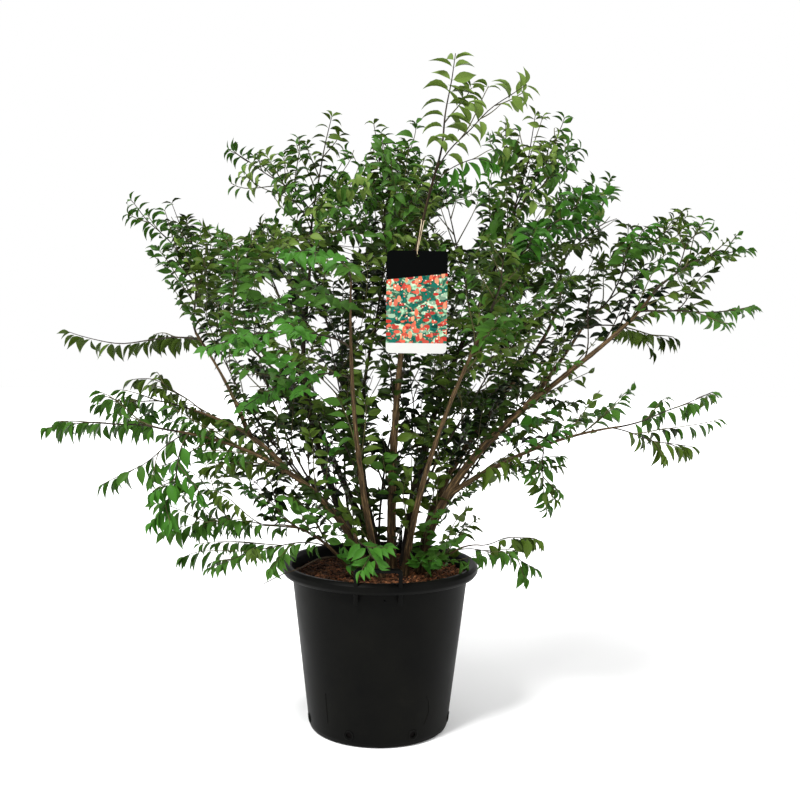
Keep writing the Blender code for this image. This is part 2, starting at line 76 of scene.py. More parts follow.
POT_HEIGHT = 0.340
POT_BASE_RADIUS = 0.142
POT_WALL_TOP_RADIUS = 0.179
POT_WALL = 3 * MM
POT_FLOOR = 4 * MM
POT_SIDES = 144
LIP_RADIUS = 0.200
LIP_DEPTH = 0.023
LIP_FOOT = POT_HEIGHT - LIP_DEPTH
DRAIN_HOLES = 7
DRAIN_RADIUS = 6 * MM
DRAIN_HEIGHT = 24 * MM
DRAIN_FIRST_DEG = -61.0
DRAIN_RING = 9.5 * MM
HANDLE_WIDTH = 92 * MM
HANDLE_BAR = 8 * MM
HANDLE_FOOT_Z = 0.297
HANDLE_TOP_Z = 0.371
HANDLE_LEAN = math.radians(18.0)
HANDLE_CORNER = 7 * MM
HANDLE_POWER = 0.42

SOIL_LEVEL = 0.315
SOIL_UNEVEN = 5 * MM
SOIL_SIDES = 120
SOIL_WALL_HEIGHTS = (12 * MM, 0.16, 0.30)
MOUND_REACH = 0.07
# Ripples of the soil: share, wavelength, seed.
SOIL_RIPPLES = [(0.55, 0.090, 3), (0.3, 0.034, 4), (0.15, 0.012, 5)]
CHIP_COUNT = 1500
CHIP_REACH = 0.168
CHIP_HALVES = ((3, 1.2, 0.5), (7.5, 3.4, 1.5))
CHIP_TILT = 0.30
CHIP_CORNER = (0.55, 1.1)
CHIP_LIFT_MM = (0.2, 1.8)
# Chips are warmer and lighter to the front right, both real orange chips and painted light; the
# darker ones to the back left are partly painted shade.
CHIP_WARM_LIT_RIGHT = 1.6
CHIP_WARM_LIT_FRONT = 0.8
FIBRE_COUNT = 420
FIBRE_REACH = 0.160
FIBRE_LIMIT = 0.170
FIBRE_LIFT = 1.6 * MM
FIBRE_POINTS = 5
FIBRE_LENGTH_MM = (10, 30)
FIBRE_BEND = 0.8
FIBRE_ARCH_MM = 2.5
FIBRE_RADIUS_MM = (0.25, 0.6)

LIMB_RINGS = 7
ROOT_FLARE = 0.55
FLARE_HEIGHT = 0.020
BARK_SIDES = 26
BARK_RING_STEP = 7 * MM

LABEL_WIDTH = 0.112
LABEL_HEIGHT = 0.188
LABEL_HALF = np.array([LABEL_WIDTH, LABEL_HEIGHT]) / 2
LABEL_THICK = 1.0 * MM
LABEL_RINGS = 9
LABEL_CORNER = 8 * MM
LABEL_LONG_EDGE = 20 * MM
LABEL_EDGE_STEPS = 12
LABEL_RING_SPREAD = 1.4
LABEL_CENTRE = np.array([0.0647, -0.1880, 0.8668])
LABEL_HOLE_RADIUS = 3 * MM
LABEL_HOLE_DROP = 8 * MM
TIE_RADIUS = 0.6 * MM
TIE_CLEAR = 1.6 * MM
TIE_STEM_SHARE = 0.84
TIE_SLACK = 1.06
TIE_RINGS = 160
TIE_ARC_DEG = (-60, 240)

LEAF_LENGTH = 38 * MM
LEAF_BREADTH = 0.47
PAIR_SPACING = 24 * MM
TIP_RADIUS = 0.7 * MM

Limb = namedtuple("Limb", "name foot end bow thick thin grows_from sway", defaults=[(0, 0, 0)])
Shoot = namedtuple("Shoot", "name grows_from share middle tip thick habit tone twigs leaf",
                   defaults=[1.0])

# Limbs, as in the solids: foot on the soil in centimetres, or the share of the way up the limb that
# it grows from; end and bow in centimetres; diameters in millimetres; the limb it grows from; sway.
LIMBS = [Limb(*row) for row in (
    ("stem_centre", (2.4, 1.0), (10, -20, 112), (-2.5, 0, 5), 21, 8, None),
    ("stem_front_right", (5.0, -2.6), (18, -30, 82), (-2, 3, 0), 15, 10, None),
    ("stem_right_dark", (5.4, 4.4), (19, 8, 84), (-3, 1, 0), 24, 14, None),
    ("stem_right_main", (8.3, 0.6), (51.5, -10, 88.5), (-2.6, -2, 5.6), 21, 12, None,
     (-2.4, 0, 0.8)),
    ("stem_right_back", (8.6, 4.6), (38, 18, 92), (0.7, 2, 3), 17, 10, None, (-3, 0, 0)),
    ("stem_left_low", (-2.2, -2.6), (-38, -17, 62), (5, -1, 5), 19, 9, None),
    ("stem_left_leader", (-2.4, 3.6), (-16, 6, 84), (-5, 1, 2), 20, 13, None),
    ("stem_front_left", (0.2, -4.6), (-5, -33, 90), (-2, 2, 0), 16, 9, None),
    ("stem_inner", (0.9, 4.4), (-2, 3, 80), (-3.5, 0, 0), 14, 9, None),
    ("stem_back_left", (0.6, 8.0), (-22, 28, 82), (-4, 2, 4), 17, 10, None),
    ("stem_back_right", (4.8, 8.2), (26, 30, 82), (-2, 2, 4), 17, 10, None),
    ("bough_left_upper", 0.58, (-37, -6, 65), (2, 0, 1), 13, 9, "stem_left_low"),
    ("bough_left_rise", 0.50, (-38, 2, 80), (1, -1, 0), 10, 7, "bough_left_upper"),
    ("bough_right_rise", 0.52, (41, 2, 83), (0, 0, -0.5), 12, 9, "stem_right_main"),
    ("arm_right", 0.22, (46, -12, 63.5), (0, -1, 2.5), 12, 7, "stem_right_main"),
    ("shoot_low_left", (-4.6, -5.6), (-20, -12, 43.5), (0, 0, 3), 9, 5, None),
    ("shoot_low_right", (9.4, -3.6), (20, -7, 39), (0, 0, 2), 8, 4, None),
    ("shoot_low_front", (-2.2, -6.6), (-4, -19, 42.5), (-1.5, 0, 4), 8, 5, None),
)]

# Shoots that carry the limbs on to the crown's tips: what each grows from and the share of the way
# up it; middle and tip in centimetres; diameter at the foot in millimetres; how its leaves hang;
# their tone, counted as in LEAF_TONES; number of side twigs; size of the leaves.
# Tone 1 on shoots inside the crown and at its back is painted shade; tone 4 on sprays in front is
# painted light.
SHOOTS = [Shoot(*row) for row in (
    ("leader_top", "stem_centre", 1.0, (11.3, -20, 121), (12.9, -20, 132.2), 6, "up", 5, 1, 1.52),
    ("leader_second", "stem_centre", 0.97, (16.4, -24, 118.4), (25, -32, 124), 4, "up", 5, 3, 1.3),
    ("leader_hang", "stem_centre", 0.93, (15.6, -23, 112.0), (20.4, -26, 110.2),
     3, "comb", 4, 1, 1.1),
    ("leader_left", "stem_left_leader", 1.0, (-14.8, 8, 104.5), (-10.8, 7, 125.5), 11, "up", 2, 6),
    ("front_right_tip", "stem_front_right", 1.0, (20.2, -36, 90), (20.8, -38, 98), 8, "up", 2, 5),
    ("right_dark_long", "stem_right_dark", 1.0, (31.5, -4, 101), (44.8, -8, 108.8),
     11, "spray", 4, 4, 1.42),
    ("right_dark_up", "stem_right_dark", 0.9, (26, 6, 104), (29.8, 0, 125), 10, "up", 2, 8),
    ("top_right_mid", "right_dark_up", 0.60, (32.6, 5, 115.8), (36.6, 6, 125.5), 5, "up", 3, 3),
    ("top_right_out", "right_dark_up", 0.55, (35.1, 8, 114.8), (41.1, 10, 119.4), 5, "up", 3, 3),
    ("right_back_tip", "stem_right_back", 1.0, (44.9, 24, 102.5), (52.1, 25, 106.2), 8, "up", 1, 5),
    ("right_main_tip", "stem_right_main", 1.0, (59.6, -11, 95.1), (70.8, -12, 97.6),
     8, "spray", 3, 5),
    ("right_main_up", "right_main_tip", 0.30, (59.1, -8, 99.4), (63.9, -10, 101), 4, "up", 3, 2),
    ("right_level", "stem_right_main", 0.93, (58.5, -12, 85.6), (71.2, -15, 86.5),
     6, "spray", 3, 4),
    ("right_rise_up", "bough_right_rise", 1.0, (46.7, 4, 89), (50.6, 5, 100.3), 7, "up", 2, 5),
    ("right_rise_out", "right_rise_up", 0.70, (54.6, 3, 99.8), (61.2, 0, 105.1), 5, "up", 2, 4),
    ("right_rise_mid", "right_rise_up", 0.55, (48.3, 0, 96.4), (48.4, -2, 103.8), 4, "up", 2, 3),
    ("right_rise_low", "bough_right_rise", 0.95, (51.3, 2, 81.8), (60, 3, 78.8), 5, "comb", 2, 4),
    ("arm_right_long", "arm_right", 1.0, (54.8, -13, 66.8), (64.4, -14, 71.2),
     5, "comb", 3, 3, 0.92),
    ("arm_right_low", "arm_right", 0.95, (51.8, -16, 61.3), (59.9, -18, 60.5), 4, "comb", 2, 3),
    ("arm_right_drop", "arm_right", 0.55, (31.2, -12, 53.0), (33.4, -13, 46.6),
     4, "spray", 3, 5, 1.05),
    ("arm_left_long", "stem_left_low", 1.0, (-50.1, -19, 63.6), (-63.1, -20, 62.4),
     6, "comb", 3, 4),
    ("arm_left_down", "stem_left_low", 0.97, (-42.9, -20, 56.9), (-52.2, -22, 51.9),
     4, "comb", 3, 2),
    ("arm_left_drop", "stem_left_low", 0.96, (-37.4, -25, 52.4), (-41.5, -28, 45.6),
     4, "comb", 4, 3, 1.1),
    ("pad_left_long", "bough_left_upper", 1.0, (-46, -3.5, 66.5), (-58.9, -2, 65.4),
     6, "comb", 3, 3),
    ("pad_left_up", "bough_left_upper", 0.9, (-43, -5, 70), (-51, -5, 70.5), 4, "comb", 2, 2),
    ("left_rise_up", "bough_left_rise", 1.0, (-38.5, 5, 91), (-41, 6, 104), 7, "up", 2, 7),
    ("left_tip", "left_rise_up", 0.50, (-46.2, 3, 101), (-51.8, 2, 107.3), 4, "up", 3, 3),
    ("left_far", "bough_left_rise", 0.93, (-54.9, 12, 77.5), (-68.9, 14, 80.2),
     6, "comb", 2, 0, 1.05),
    ("left_back_long", "stem_left_leader", 0.62, (-33, 19, 81), (-47.7, 24, 109), 9, "up", 1, 8),
    ("front_left_top", "stem_front_left", 1.0, (-9.6, -43, 94.4), (-15.2, -50, 93.3),
     5, "spray", 4, 3, 1.02),
    ("front_left_mid", "stem_front_left", 0.80, (-17.6, -36, 81.1), (-29.2, -44, 78),
     6, "spray", 4, 3, 1.02),
    ("front_left_low", "stem_front_left", 0.70, (-14.1, -28, 73), (-23.9, -36, 67.6),
     5, "spray", 4, 3, 1.0),
    ("inner_up", "stem_inner", 1.0, (0, 4, 101), (-2.5, 0, 123), 8, "up", 2, 8),
    ("top_left", "leader_left", 0.50, (-24.2, 0, 112.4), (-31.5, -2, 116.5), 5, "up", 3, 4),
    ("top_left_inner", "leader_left", 0.42, (-18.5, -4, 108), (-19.2, -6, 115.5), 4, "up", 3, 2),
    ("low_left", "shoot_low_left", 1.0, (-28, -14, 44.4), (-36.1, -16, 42.5), 4, "comb", 3, 3),
    ("low_left_front", "shoot_low_left", 0.36, (-22.3, -18, 39.9), (-32.5, -24, 36.8),
     4, "comb", 3, 4, 0.8),
    ("low_right", "shoot_low_right", 1.0, (26, -8.5, 41), (32.1, -10, 40.2), 3.5, "comb", 2, 2),
    ("low_right_under", "shoot_low_right", 0.55, (24.5, -6, 37), (32.1, -8, 33.8),
     3.5, "comb", 3, 2),
    ("low_front", "shoot_low_front", 1.0, (-1.5, -24, 41), (0.6, -28, 38.4),
     4, "spray", 4, 2, 1.15),
    ("bare_twig", "shoot_low_left", 0.22, (-15, -15, 36), (-21.2, -22, 34.4), 5, "bare", 2, 0),
    ("rise_left_dark", "stem_left_leader", 0.10, (-8.5, 12, 62), (-9, 18, 92),
     9, "spray", 1, 6, 0.8),
    ("rise_left_mid", "stem_inner", 0.12, (-7, -2, 62), (-12, -6, 90), 8, "spray", 1, 6, 0.8),
    ("rise_centre_thin", "stem_inner", 0.08, (3, 9, 66), (8, 14, 95), 8, "spray", 1, 6, 0.8),
    ("rise_fork_low", "stem_centre", 0.12, (-2, 2, 56), (-11, 8, 74), 7, "spray", 1, 5, 0.8),
    ("rise_right_dark", "stem_right_dark", 0.12, (15, -2, 62), (28, -8, 84),
     10, "spray", 1, 6, 0.8),
    ("rise_right_back", "stem_right_back", 0.10, (22, 10, 62), (34, 12, 84), 9, "spray", 1, 6, 0.8),
    ("rise_right_low", "stem_right_main", 0.10, (21, 2, 56), (36, 4, 74), 8, "spray", 1, 6, 0.8),
    ("rise_left_low", "stem_left_low", 0.12, (-13, 2, 55), (-28, 8, 76), 9, "spray", 1, 6, 0.8),
    ("rise_left_out", "stem_left_low", 0.30, (-19, -9, 57), (-29, -14, 73), 7, "spray", 1, 5, 0.8),
    ("rise_left_far", "stem_left_low", 0.45, (-28, -3, 68), (-36, -2, 86), 7, "up", 1, 3, 0.85),
    ("rise_left_near", "stem_left_low", 0.35, (-22, 0, 66), (-27, 2, 88), 7, "up", 1, 3, 0.85),
    ("rise_back_left", "stem_back_left", 0.10, (-8, 20, 66), (-12, 26, 92), 9, "spray", 1, 5, 0.8),
    ("rise_back_right", "stem_back_right", 0.10, (12, 22, 66), (14, 26, 92), 9, "spray", 1, 5, 0.8),
    ("thin_middle", "stem_right_dark", 0.38, (6.5, 5, 64), (5.5, 5, 77), 6, "up", 1, 4),
    ("back_left_tip", "stem_back_left", 1.0, (-27, 30, 94), (-31, 31, 104), 8, "up", 1, 6),
    ("back_right_tip", "stem_back_right", 1.0, (30, 32, 93), (33, 33, 102.5), 8, "up", 1, 6),
    ("back_left_low", "stem_back_left", 0.55, (-21, 33, 68), (-32, 49, 71.5), 6, "comb", 1, 5),
    ("back_right_low", "stem_back_right", 0.55, (23, 33, 67), (33, 47, 70), 6, "comb", 1, 5),
    ("back_top_left", "stem_inner", 0.95, (2, 16, 100), (2, 22, 117.5), 7, "up", 1, 7),
    ("back_top_right", "stem_right_dark", 0.95, (15, 19, 101), (12, 24, 116), 8, "up", 1, 7),
    ("sprout_left", "shoot_low_front", 0.06, (-5.5, -9, 35.5), (-8.2, -10.5, 38.5),
     2.2, "spray", 4, 1),
    ("sprout_right", "stem_right_main", 0.03, (8.2, -6.5, 35), (7.4, -10.5, 38),
     2.2, "spray", 4, 1),
    ("sprout_right_out", "stem_right_main", 0.05, (10.6, -5.5, 36), (12, -9.5, 38),
     2.2, "spray", 3, 1),
)]
# Limbs that stand in the crown's shade, whose bark is a darker copy with painted shade; the other
# limbs take the lit copy.
SHADED_LIMBS = ("stem_left_leader", "stem_right_dark", "stem_inner", "stem_back_left",
                "stem_back_right")

# Growth of the crown.
CROWN_FOOT = np.array([2.4, 1.0, 31.5]) * CM
CROWN_MIDDLE = np.array([2.0, 0.0, 72.0]) * CM
TWIG_RINGS = 9
SHOOT_RINGS = 2 * TWIG_RINGS - 1
WOOD_ROOM = 30000
FORK_TURN = 0.8
FORK_LEAST_COSINE = -0.15
FORK_TOO_NEAR = 3
FORK_SINK = {"up": 1.6, "spray": 1.3, "comb": 0.5}
TWIG_LEAST = 13 * CM
TWIG_SPACING = 3.4 * CM
CLEAR_INNER = 3.5 * CM
CLEAR_OUTER = 4.4 * CM
CLEAR_LOW = 0.05
CLEAR_THIN = 5.0 * CM
THROWS = 6
LEAST_DEPTH = 0.8 * CM
BURIED_REACH = 15 * CM
BURIED_SCALE = 9.0
DEPTH_BAND = (0.15, 0.65)
OUTERMOST_WEIGHTS = (1, 1.15, 1)
LEAFY_SHARE = 0.9
LEAFY_MOST = 20 * CM
LEAFY_MOST_SHOOT = 30 * CM
TWIG_RADIUS_MM = 0.85
TWIG_STOUTER = 6.0
TWIG_OF_PARENT = 0.92
TWIG_OUTWARD = (1, 1, 0.4)
START_AHEAD = 0.5
START_TOWARD = 0.75
END_TOWARD = 0.6
END_SCATTER = 0.15

# Traced shoots and their side twigs.
TURN_AT_END = 0.8
TURN_AT_SIDE = 0.35
SHOOT_WANDER = 1.6 * MM
WANDER_RATE = (9, 15)
WANDER_PHASE = (0, 6)
UPRIGHT_PLANE = np.array([0.0, 1.0, 0.15])
SIDE_FIRST = 0.20
SIDE_SPAN = 0.66
SIDE_LENGTH = (4.5 * CM, 15 * CM)
SIDE_RISE = {"up": 0.35, "comb": -0.05, "spray": 0.05}
SIDE_DROOP = {"up": -0.15, "comb": 0.25, "spray": -0.15}
SIDE_RADIUS = 1.5 * MM
SIDE_OF_SHOOT = 0.3
SIDE_JITTER = (0.2, 0.8)
SIDE_TWIST = 0.4
SIDE_REACH = (0.55, 0.85)
SIDE_SPREAD = (0.55, 0.9)
SIDE_FORWARD = 0.75
SIDE_LEAF = 0.95

# Tone of a spray, counted as in LEAF_TONES. The tones paint light and shade: darker deep in the
# crown and in a shaded belt, more so to the right, as painted shade; lighter higher up, in the high
# middle, near the lit spots and now and then in front, as painted light.
VIVID_TONE = 4
PALE_TONE = 5
BRIGHTEST_USUAL = 3
BRIGHT_EDGE = 1.3
VIVID_SHARE = 0.07
VIVID_FRONT = -0.05
PALE_FROM = 0.96
PALE_SHARE = 0.28
LIGHT_USUAL = 2.5
LIGHT_RISE = 1.2
LIGHT_HEIGHT = 0.85
LIGHT_BURIED = 4.5
BURIED_USUAL = 0.42
LIGHT_SCATTER = 0.70
SHADE_DEPTH = 0.8
SHADE_HEIGHT = 0.88
SHADE_REACH = 0.13
SHADE_RIGHT = 0.9
SHADE_RIGHT_BAND = (0.2, 0.45)
TOP_LIGHT = 2.0
TOP_BAND = (0.98, 1.12)
TOP_WIDTH = 0.22
TIP_LEAF_REACH = {"up": 0.9 * CM, "spray": 1.6 * CM, "comb": 1.6 * CM, "bare": 0.0}
BOX_SPARE = 0.015
LOWEST_LEAF = SOIL_LEVEL - 0.05

# Bark: how much slimmer it is than the frame's limbs, and its relief as shares of the radius.
LIMB_SLIM_FOOT = 0.90
LIMB_SLIM_TIP = 0.62
SLIM_BAND = (0.1, 0.7)
SHOOT_SLIM = 0.68
SHOOT_FOOT_SHARE = 0.54
SHOOT_BLEND = (0.7, 1.0)
BARK_LEAST_RINGS = 12
BARK_JOINT_STEP = 62 * MM
JOINT_SWELLING = 0.13
JOINT_LENGTH = 5 * MM
COLLAR = 0.45
COLLAR_LENGTH = 12 * MM
RIDGE_DEPTH = 0.065
FINE_RIDGE_DEPTH = 0.030
BARK_UNEVEN = 0.035

# Habit of the fill twigs in the leafy masses, in the order in which twigs are thrown there.
MASS_RUNS = [
    ("up", "leader_top leader_second leader_left top_centre top_left top_right right_top"),
    ("spray", "left_shoulder left_tip mid_left mid_centre mid_right right_outer right_shoulder "
              "right_tip_high"),
    ("comb", "right_tip_mid arm_right_tip"),
    ("spray", "right_low right_hanging centre_right left_lower"),
    ("comb", "arm_left_upper arm_left left_pad left_drop left_low low_left low_right"),
    ("spray", "low_front front_left_top front_left_mid front_left front_right"),
    ("up", "back_top"),
    ("spray", "back_left back_right"),
    ("comb", "back_low_left back_low_right"),
]
MASS_HABITS = {name: habit for habit, names in MASS_RUNS for name in names.split()}
# Leafy masses whose twigs stand further apart.
THIN_MASSES = ("leader_top leader_second leader_left arm_left arm_left_upper left_drop "
               "arm_right_tip low_front top_left front_left front_left_top left_pad right_tip_high "
               "left_tip right_tip_mid").split()
# Sprays outside the leafy masses, round the stems: middle and reach in centimetres, and the habit
# where it isn't "spray".
LOOSE_SPOTS = [(-4, -2, 66, 15, 12, 13), (24, 0, 66, 12, 9, 11), (-27, -2, 60, 12, 10, 8),
               (8, 2, 54, 17, 9, 9), (-12, 2, 52, 12, 9, 8), (4, -8, 90, 12, 8, 20),
               (9, 3, 106, 10, 6, 9), (33, -6, 74, 9, 8, 8), (26, -4, 55, 10, 7, 5),
               (-18, -8, 44, 8, 5, 5), (15, -6, 42, 6, 5, 5), (-5, -8, 41, 7, 4, 4),
               (-14, -12, 47, 8, 6, 5), (40, -8, 68, 10, 8, 6), (23, -6, 117, 4.5, 6, 5, "up"),
               (23, -6, 110, 4.5, 6, 4), (39.5, 4, 110.5, 4, 5, 4, "up"), (31, -10, 87, 5, 6, 5),
               (55, -6, 89.5, 7, 8, 3.5), (38.5, -6, 79.5, 5, 6, 4), (31, -2, 64, 7, 9, 5),
               (28, -8, 56, 8, 5, 3.5, "comb"), (15, -10, 40, 5, 4, 2.5),
               (-38, -14, 64, 7, 6, 3.5, "comb"), (-30, -14, 60, 6, 6, 4, "comb"),
               (-9, -4, 103, 5, 13, 4.5), (-0.5, -10, 95, 4, 5, 4), (-45, 0, 95, 3, 5, 3.5),
               (-39, 0, 87, 4, 6, 5), (3.6, 0, 119, 7, 5, 3.5, "up"),
               (-46, 12, 79, 6, 4, 2.5, "comb"), (-21, -8, 52, 8, 7, 6), (-14, -8, 58, 7, 6, 6),
               (57, -8, 94, 9, 7, 5), (5, 4, 49, 14, 8, 6), (-16, -12, 49, 6, 6, 3.5),
               (15, 0, 41, 6, 6, 3.5), (-12, 24, 72, 9, 6, 8), (18, 26, 72, 9, 6, 8),
               (-38, -14, 53, 5, 4, 3, "comb")]
GAP_CROSSING = 0.15
# Gaps in the leaves where sky shows through: place and half size, across and up, in centimetres
# in the plane of the pot's axis, seen from the camera.
SKY_GAPS = [(-22.2, 89.4, 3.4, 2.2), (-29.2, 102.8, 4.2, 3.5), (-10.0, 77.9, 1.7, 1.6),
            (-13.2, 82.7, 1.5, 1.5), (-11.2, 69.5, 3.0, 2.6), (-26.4, 70.1, 2.6, 2.3),
            (14.8, 102.8, 4.6, 4.0), (39.0, 94.8, 2.4, 2.0), (44.6, 88.8, 3.0, 1.8),
            (44.6, 76.1, 3.6, 2.8), (20.0, 70.1, 2.0, 1.8), (-5.0, 119.2, 2.8, 4.2),
            (7.0, 72.1, 1.4, 1.8), (24.3, 47.2, 5.4, 3.6), (2.6, 59.1, 1.8, 3.0),
            (21.6, 125.2, 2.0, 4.5), (-16.4, 53.0, 2.3, 2.1), (-7.4, 97.2, 1.4, 1.7),
            (-20.0, 79.0, 1.8, 1.6), (38.6, 69.3, 2.4, 1.7), (29.0, 88.0, 1.6, 1.4),
            (-1.4, 70.2, 1.9, 2.3), (1.0, 65.5, 1.5, 1.6), (-20.8, 65.7, 1.4, 1.6),
            (-0.4, 61.7, 1.5, 1.2), (-1.2, 51.1, 2.2, 2.0), (6.2, 67.5, 1.4, 2.6),
            (5.2, 54.9, 1.3, 1.8), (-32.4, 71.8, 2.0, 1.3), (46.0, 71.2, 5.0, 3.0),
            (32.6, 121.4, 1.6, 2.2), (28.6, 121.0, 1.2, 2.4), (-33.5, 110.0, 2.6, 2.6),
            (-24.0, 105.6, 2.4, 2.6), (-42.0, 104.6, 1.5, 2.0), (-37.2, 103.8, 1.6, 2.0),
            (51.6, 104.0, 2.6, 1.8), (45.2, 105.2, 1.6, 2.4), (50.6, 77.8, 3.6, 2.0),
            (-37.8, 107.6, 2.0, 2.0), (-23.5, 110.8, 1.5, 2.2), (38.5, 111.0, 1.8, 1.6),
            (31.0, 104.5, 1.4, 1.4), (26.5, 107.5, 1.3, 1.6), (44.5, 103.0, 2.0, 1.4),
            (-6.5, 112.0, 1.2, 1.6)]
# How much a fill twig's end turns up, and away from the crown's middle.
END_LEAN = {"up": (0.60, 0.20), "spray": (0.22, 0.45), "comb": (0.00, 0.60)}
# Where sprays are brighter, painted light where the light falls on the crown's front: place in
# centimetres, reach in centimetres.
LIT_SPOTS = [((-12, -34, 93), 7), ((-24, -34, 79), 7), ((-14, -30, 70), 6), ((19, -25, 109), 6),
                ((-35, -26, 53), 6), ((20, -25, 76), 5), ((37, -20, 79), 4)]

# A leaf: share of the way up its length, and its half width there as a share of the widest.
LEAF_ROWS = [(0.0, 0.04), (0.08, 0.05), (0.20, 0.60), (0.35, 0.97), (0.50, 0.97), (0.68, 0.64),
             (0.84, 0.25), (1.0, 0.0)]
SMALL_LEAF_ROWS = [(0.0, 0.0), (0.24, 0.66), (0.50, 0.95), (0.76, 0.48), (1.0, 0.0)]
SMALL_LEAF_LENGTH = 27 * MM
FACES_PER_PIECE = 150000
SHOOT_LEAF = {"up": 0.88, "spray": 0.92, "comb": 1.10, "bare": 1.0}
FILL_LEAF_INNER = 0.74
FILL_LEAF_LOW = 0.30
LOW_BAND = (0.68, 0.84)
FILL_LEAF_OUTER = 0.92
FILL_LEAF_VIVID = 0.12
FILL_COMB = 1.10
FILL_LEAF_SCATTER = (0.84, 1.16)
COMB_PAIRS = 0.92
BIG_LEAF = 1.2
BIG_LEAF_PAIRS = 0.70
LEAF_SCATTER = 0.17
LEAF_ROLL = 0.55
LEAF_LOSS = 0.06
LEAF_FOLD_DEG = (22, 46)
LENGTH_SCATTER = (0.86, 1.14)
BREADTH_SCATTER = (0.88, 1.12)
CURL_SCATTER = (0.5, 1.5)
PAIR_SCATTER = (0.85, 1.15)
# What a leaf's face turns towards: up, out from the crown, and along the twig, which counts for
# more on upright ones.
FACE_UP = 0.60
FACE_OUT = 0.75
FACE_AHEAD = 0.10
FACE_AHEAD_UPRIGHT = 0.15
LEAF_OUTWARD = (1, 1, 0.3)
# Gaps between the first pairs from a twig's tip, as shares of the usual gap.
TIP_STEPS = [0.12, 0.45, 0.70, 0.88]
MORE_PAIRS = 20
TIP_LEAF = 0.70
NEXT_LEAF = 0.15
TIP_FORWARD = 0.9
TIP_FORWARD_PAIRS = 0.9
LEAD_STEP = 4 * MM
UPRIGHT_TURN_DEG = 22
TURN_DEG = 10
# How leaves stand off the twig in each habit: sideways, forwards, downwards, and bend in degrees.
LEAF_HABITS = {"up": (1.00, 0.42, 0.08, 62), "comb": (0.42, 0.50, 0.80, 32),
               "spray": (0.76, 0.58, 0.26, 42)}
# Tones of leaf: name, colour, roughness, slot.
LEAF_TONES = [
    # Dark and deep are painted shade, for sprays deep in the crown, at its back and in the shaded
    # belt.
    ("dark", (0.004, 0.009, 0.002), 0.46, "leaves_dark"),
    ("deep", (0.014, 0.029, 0.003), 0.44, "leaves_dark"),
    ("olive", (0.050, 0.086, 0.010), 0.42, "leaves_green"),
    ("green", (0.036, 0.098, 0.011), 0.42, "leaves_green"),
    # Vivid is painted light, for sprays in the lit front of the crown.
    ("vivid", (0.037, 0.128, 0.013), 0.42, "leaves_bright"),
    ("pale", (0.100, 0.158, 0.028), 0.42, "leaves_bright"),
]

# The pot's fine detail, the soil and the label's print.
DRAIN_RING_ROUND = 1.5 * MM
# Seams of the mould: the angle about Z, and the bow of the line in radians.
MOULD_LINES = [(-131.8, 0.0), (-51.0, 0.06), (48.2, 0.0), (129.0, 0.06)]
MOULD_FOOT = 0.040
MOULD_RISE = 0.060
MOULD_RADIUS = 0.9 * MM
# The mould's nub: its place, and how far its rings stand off the wall and their radii, in mm.
NUB_DEG = -86.0
NUB_HEIGHT = 0.303
NUB = [(-2, 2.4), (0, 2.2), (1.5, 1.6), (2.2, 0.4)]
POT_SHARP = math.radians(38)
CHIP_TONES = [("dark", (0.014, 0.007, 0.004), (0.050, 0.022, 0.012)),
              ("brown", (0.060, 0.022, 0.010), (0.190, 0.078, 0.038)),
              ("orange", (0.190, 0.070, 0.028), (0.480, 0.200, 0.090))]
CHIP_SPLITS = [0.38, 0.80]
LABEL_FOOTER = 0.098
LABEL_HEADER = 0.714
LABEL_HEADER_RISE = 0.068
LABEL_WAVE = 0.8 * MM
LABEL_EDGE = 0.004
PRINT_EDGE = 0.04
PRINT_BARE_CELLS = 0.30
# Layers of the print's picture: turn, cells a metre each way, reach of a shape in its cell,
# colours.
PRINT_LAYERS = [
    (0.5, (62, 120), 0.44, [(0.015, 0.10, 0.07), (0.36, 0.52, 0.36), (0.006, 0.04, 0.03)]),
    (-0.7, (70, 130), 0.42, [(0.36, 0.03, 0.02), (0.58, 0.11, 0.06), (0.24, 0.02, 0.02)]),
    (0.2, (110, 60), 0.40, [(0.58, 0.12, 0.06), (0.68, 0.28, 0.15), (0.38, 0.04, 0.03)]),
    (1.1, (190, 190), 0.26, [(0.55, 0.06, 0.04), (0.74, 0.70, 0.52), (0.40, 0.03, 0.02)]),
]

# Materials. A ramp's stops are (place, colour); the other finishes run from dark to light.
PLASTIC_TINTS = [(0.30, (0.0022, 0.0023, 0.0022)), (0.62, (0.0038, 0.0038, 0.0032)),
                 (0.85, (0.0075, 0.0070, 0.0056))]
# Painted shade: the root ball turns black low down, inside the pot, where it shows through the
# drain holes.
INSIDE_SHADE_BLACK = (0.0020, 0.0012, 0.0010)
INSIDE_SHADE_HEIGHTS = (0.14, 0.20)
SOIL_BROWN = ((0.016, 0.008, 0.005), (0.085, 0.036, 0.018))
FIBRE_BROWN = ((0.060, 0.025, 0.012), (0.240, 0.120, 0.060))
# Bark: the lit copy for the limbs in front, and a darker copy with painted shade for the limbs in
# the crown's shade.
LIT_BARK = ((0.006, 0.004, 0.002), (0.046, 0.028, 0.012), (0.200, 0.128, 0.058))
SHADED_BARK = ((0.002, 0.002, 0.001), (0.012, 0.008, 0.004), (0.060, 0.042, 0.022))
BARK_STREAKS = 34.0
BARK_DARKENS = (0.84, 1.0)
TWIG_BROWN = ((0.010, 0.007, 0.005), (0.040, 0.029, 0.017))
TWIG_GREEN = ((0.030, 0.028, 0.010), (0.075, 0.072, 0.024))
TIE_FIBRE = ((0.42, 0.32, 0.20), (0.72, 0.62, 0.44))
VEIN_LEAN = 0.22
VEIN_RATE = 62.0
PRINT_CLOUD = [(0.30, (0.004, 0.045, 0.036)), (0.44, (0.010, 0.120, 0.085)),
               (0.52, (0.020, 0.060, 0.030)), (0.60, (0.250, 0.450, 0.280)),
               (0.68, (0.500, 0.580, 0.430))]
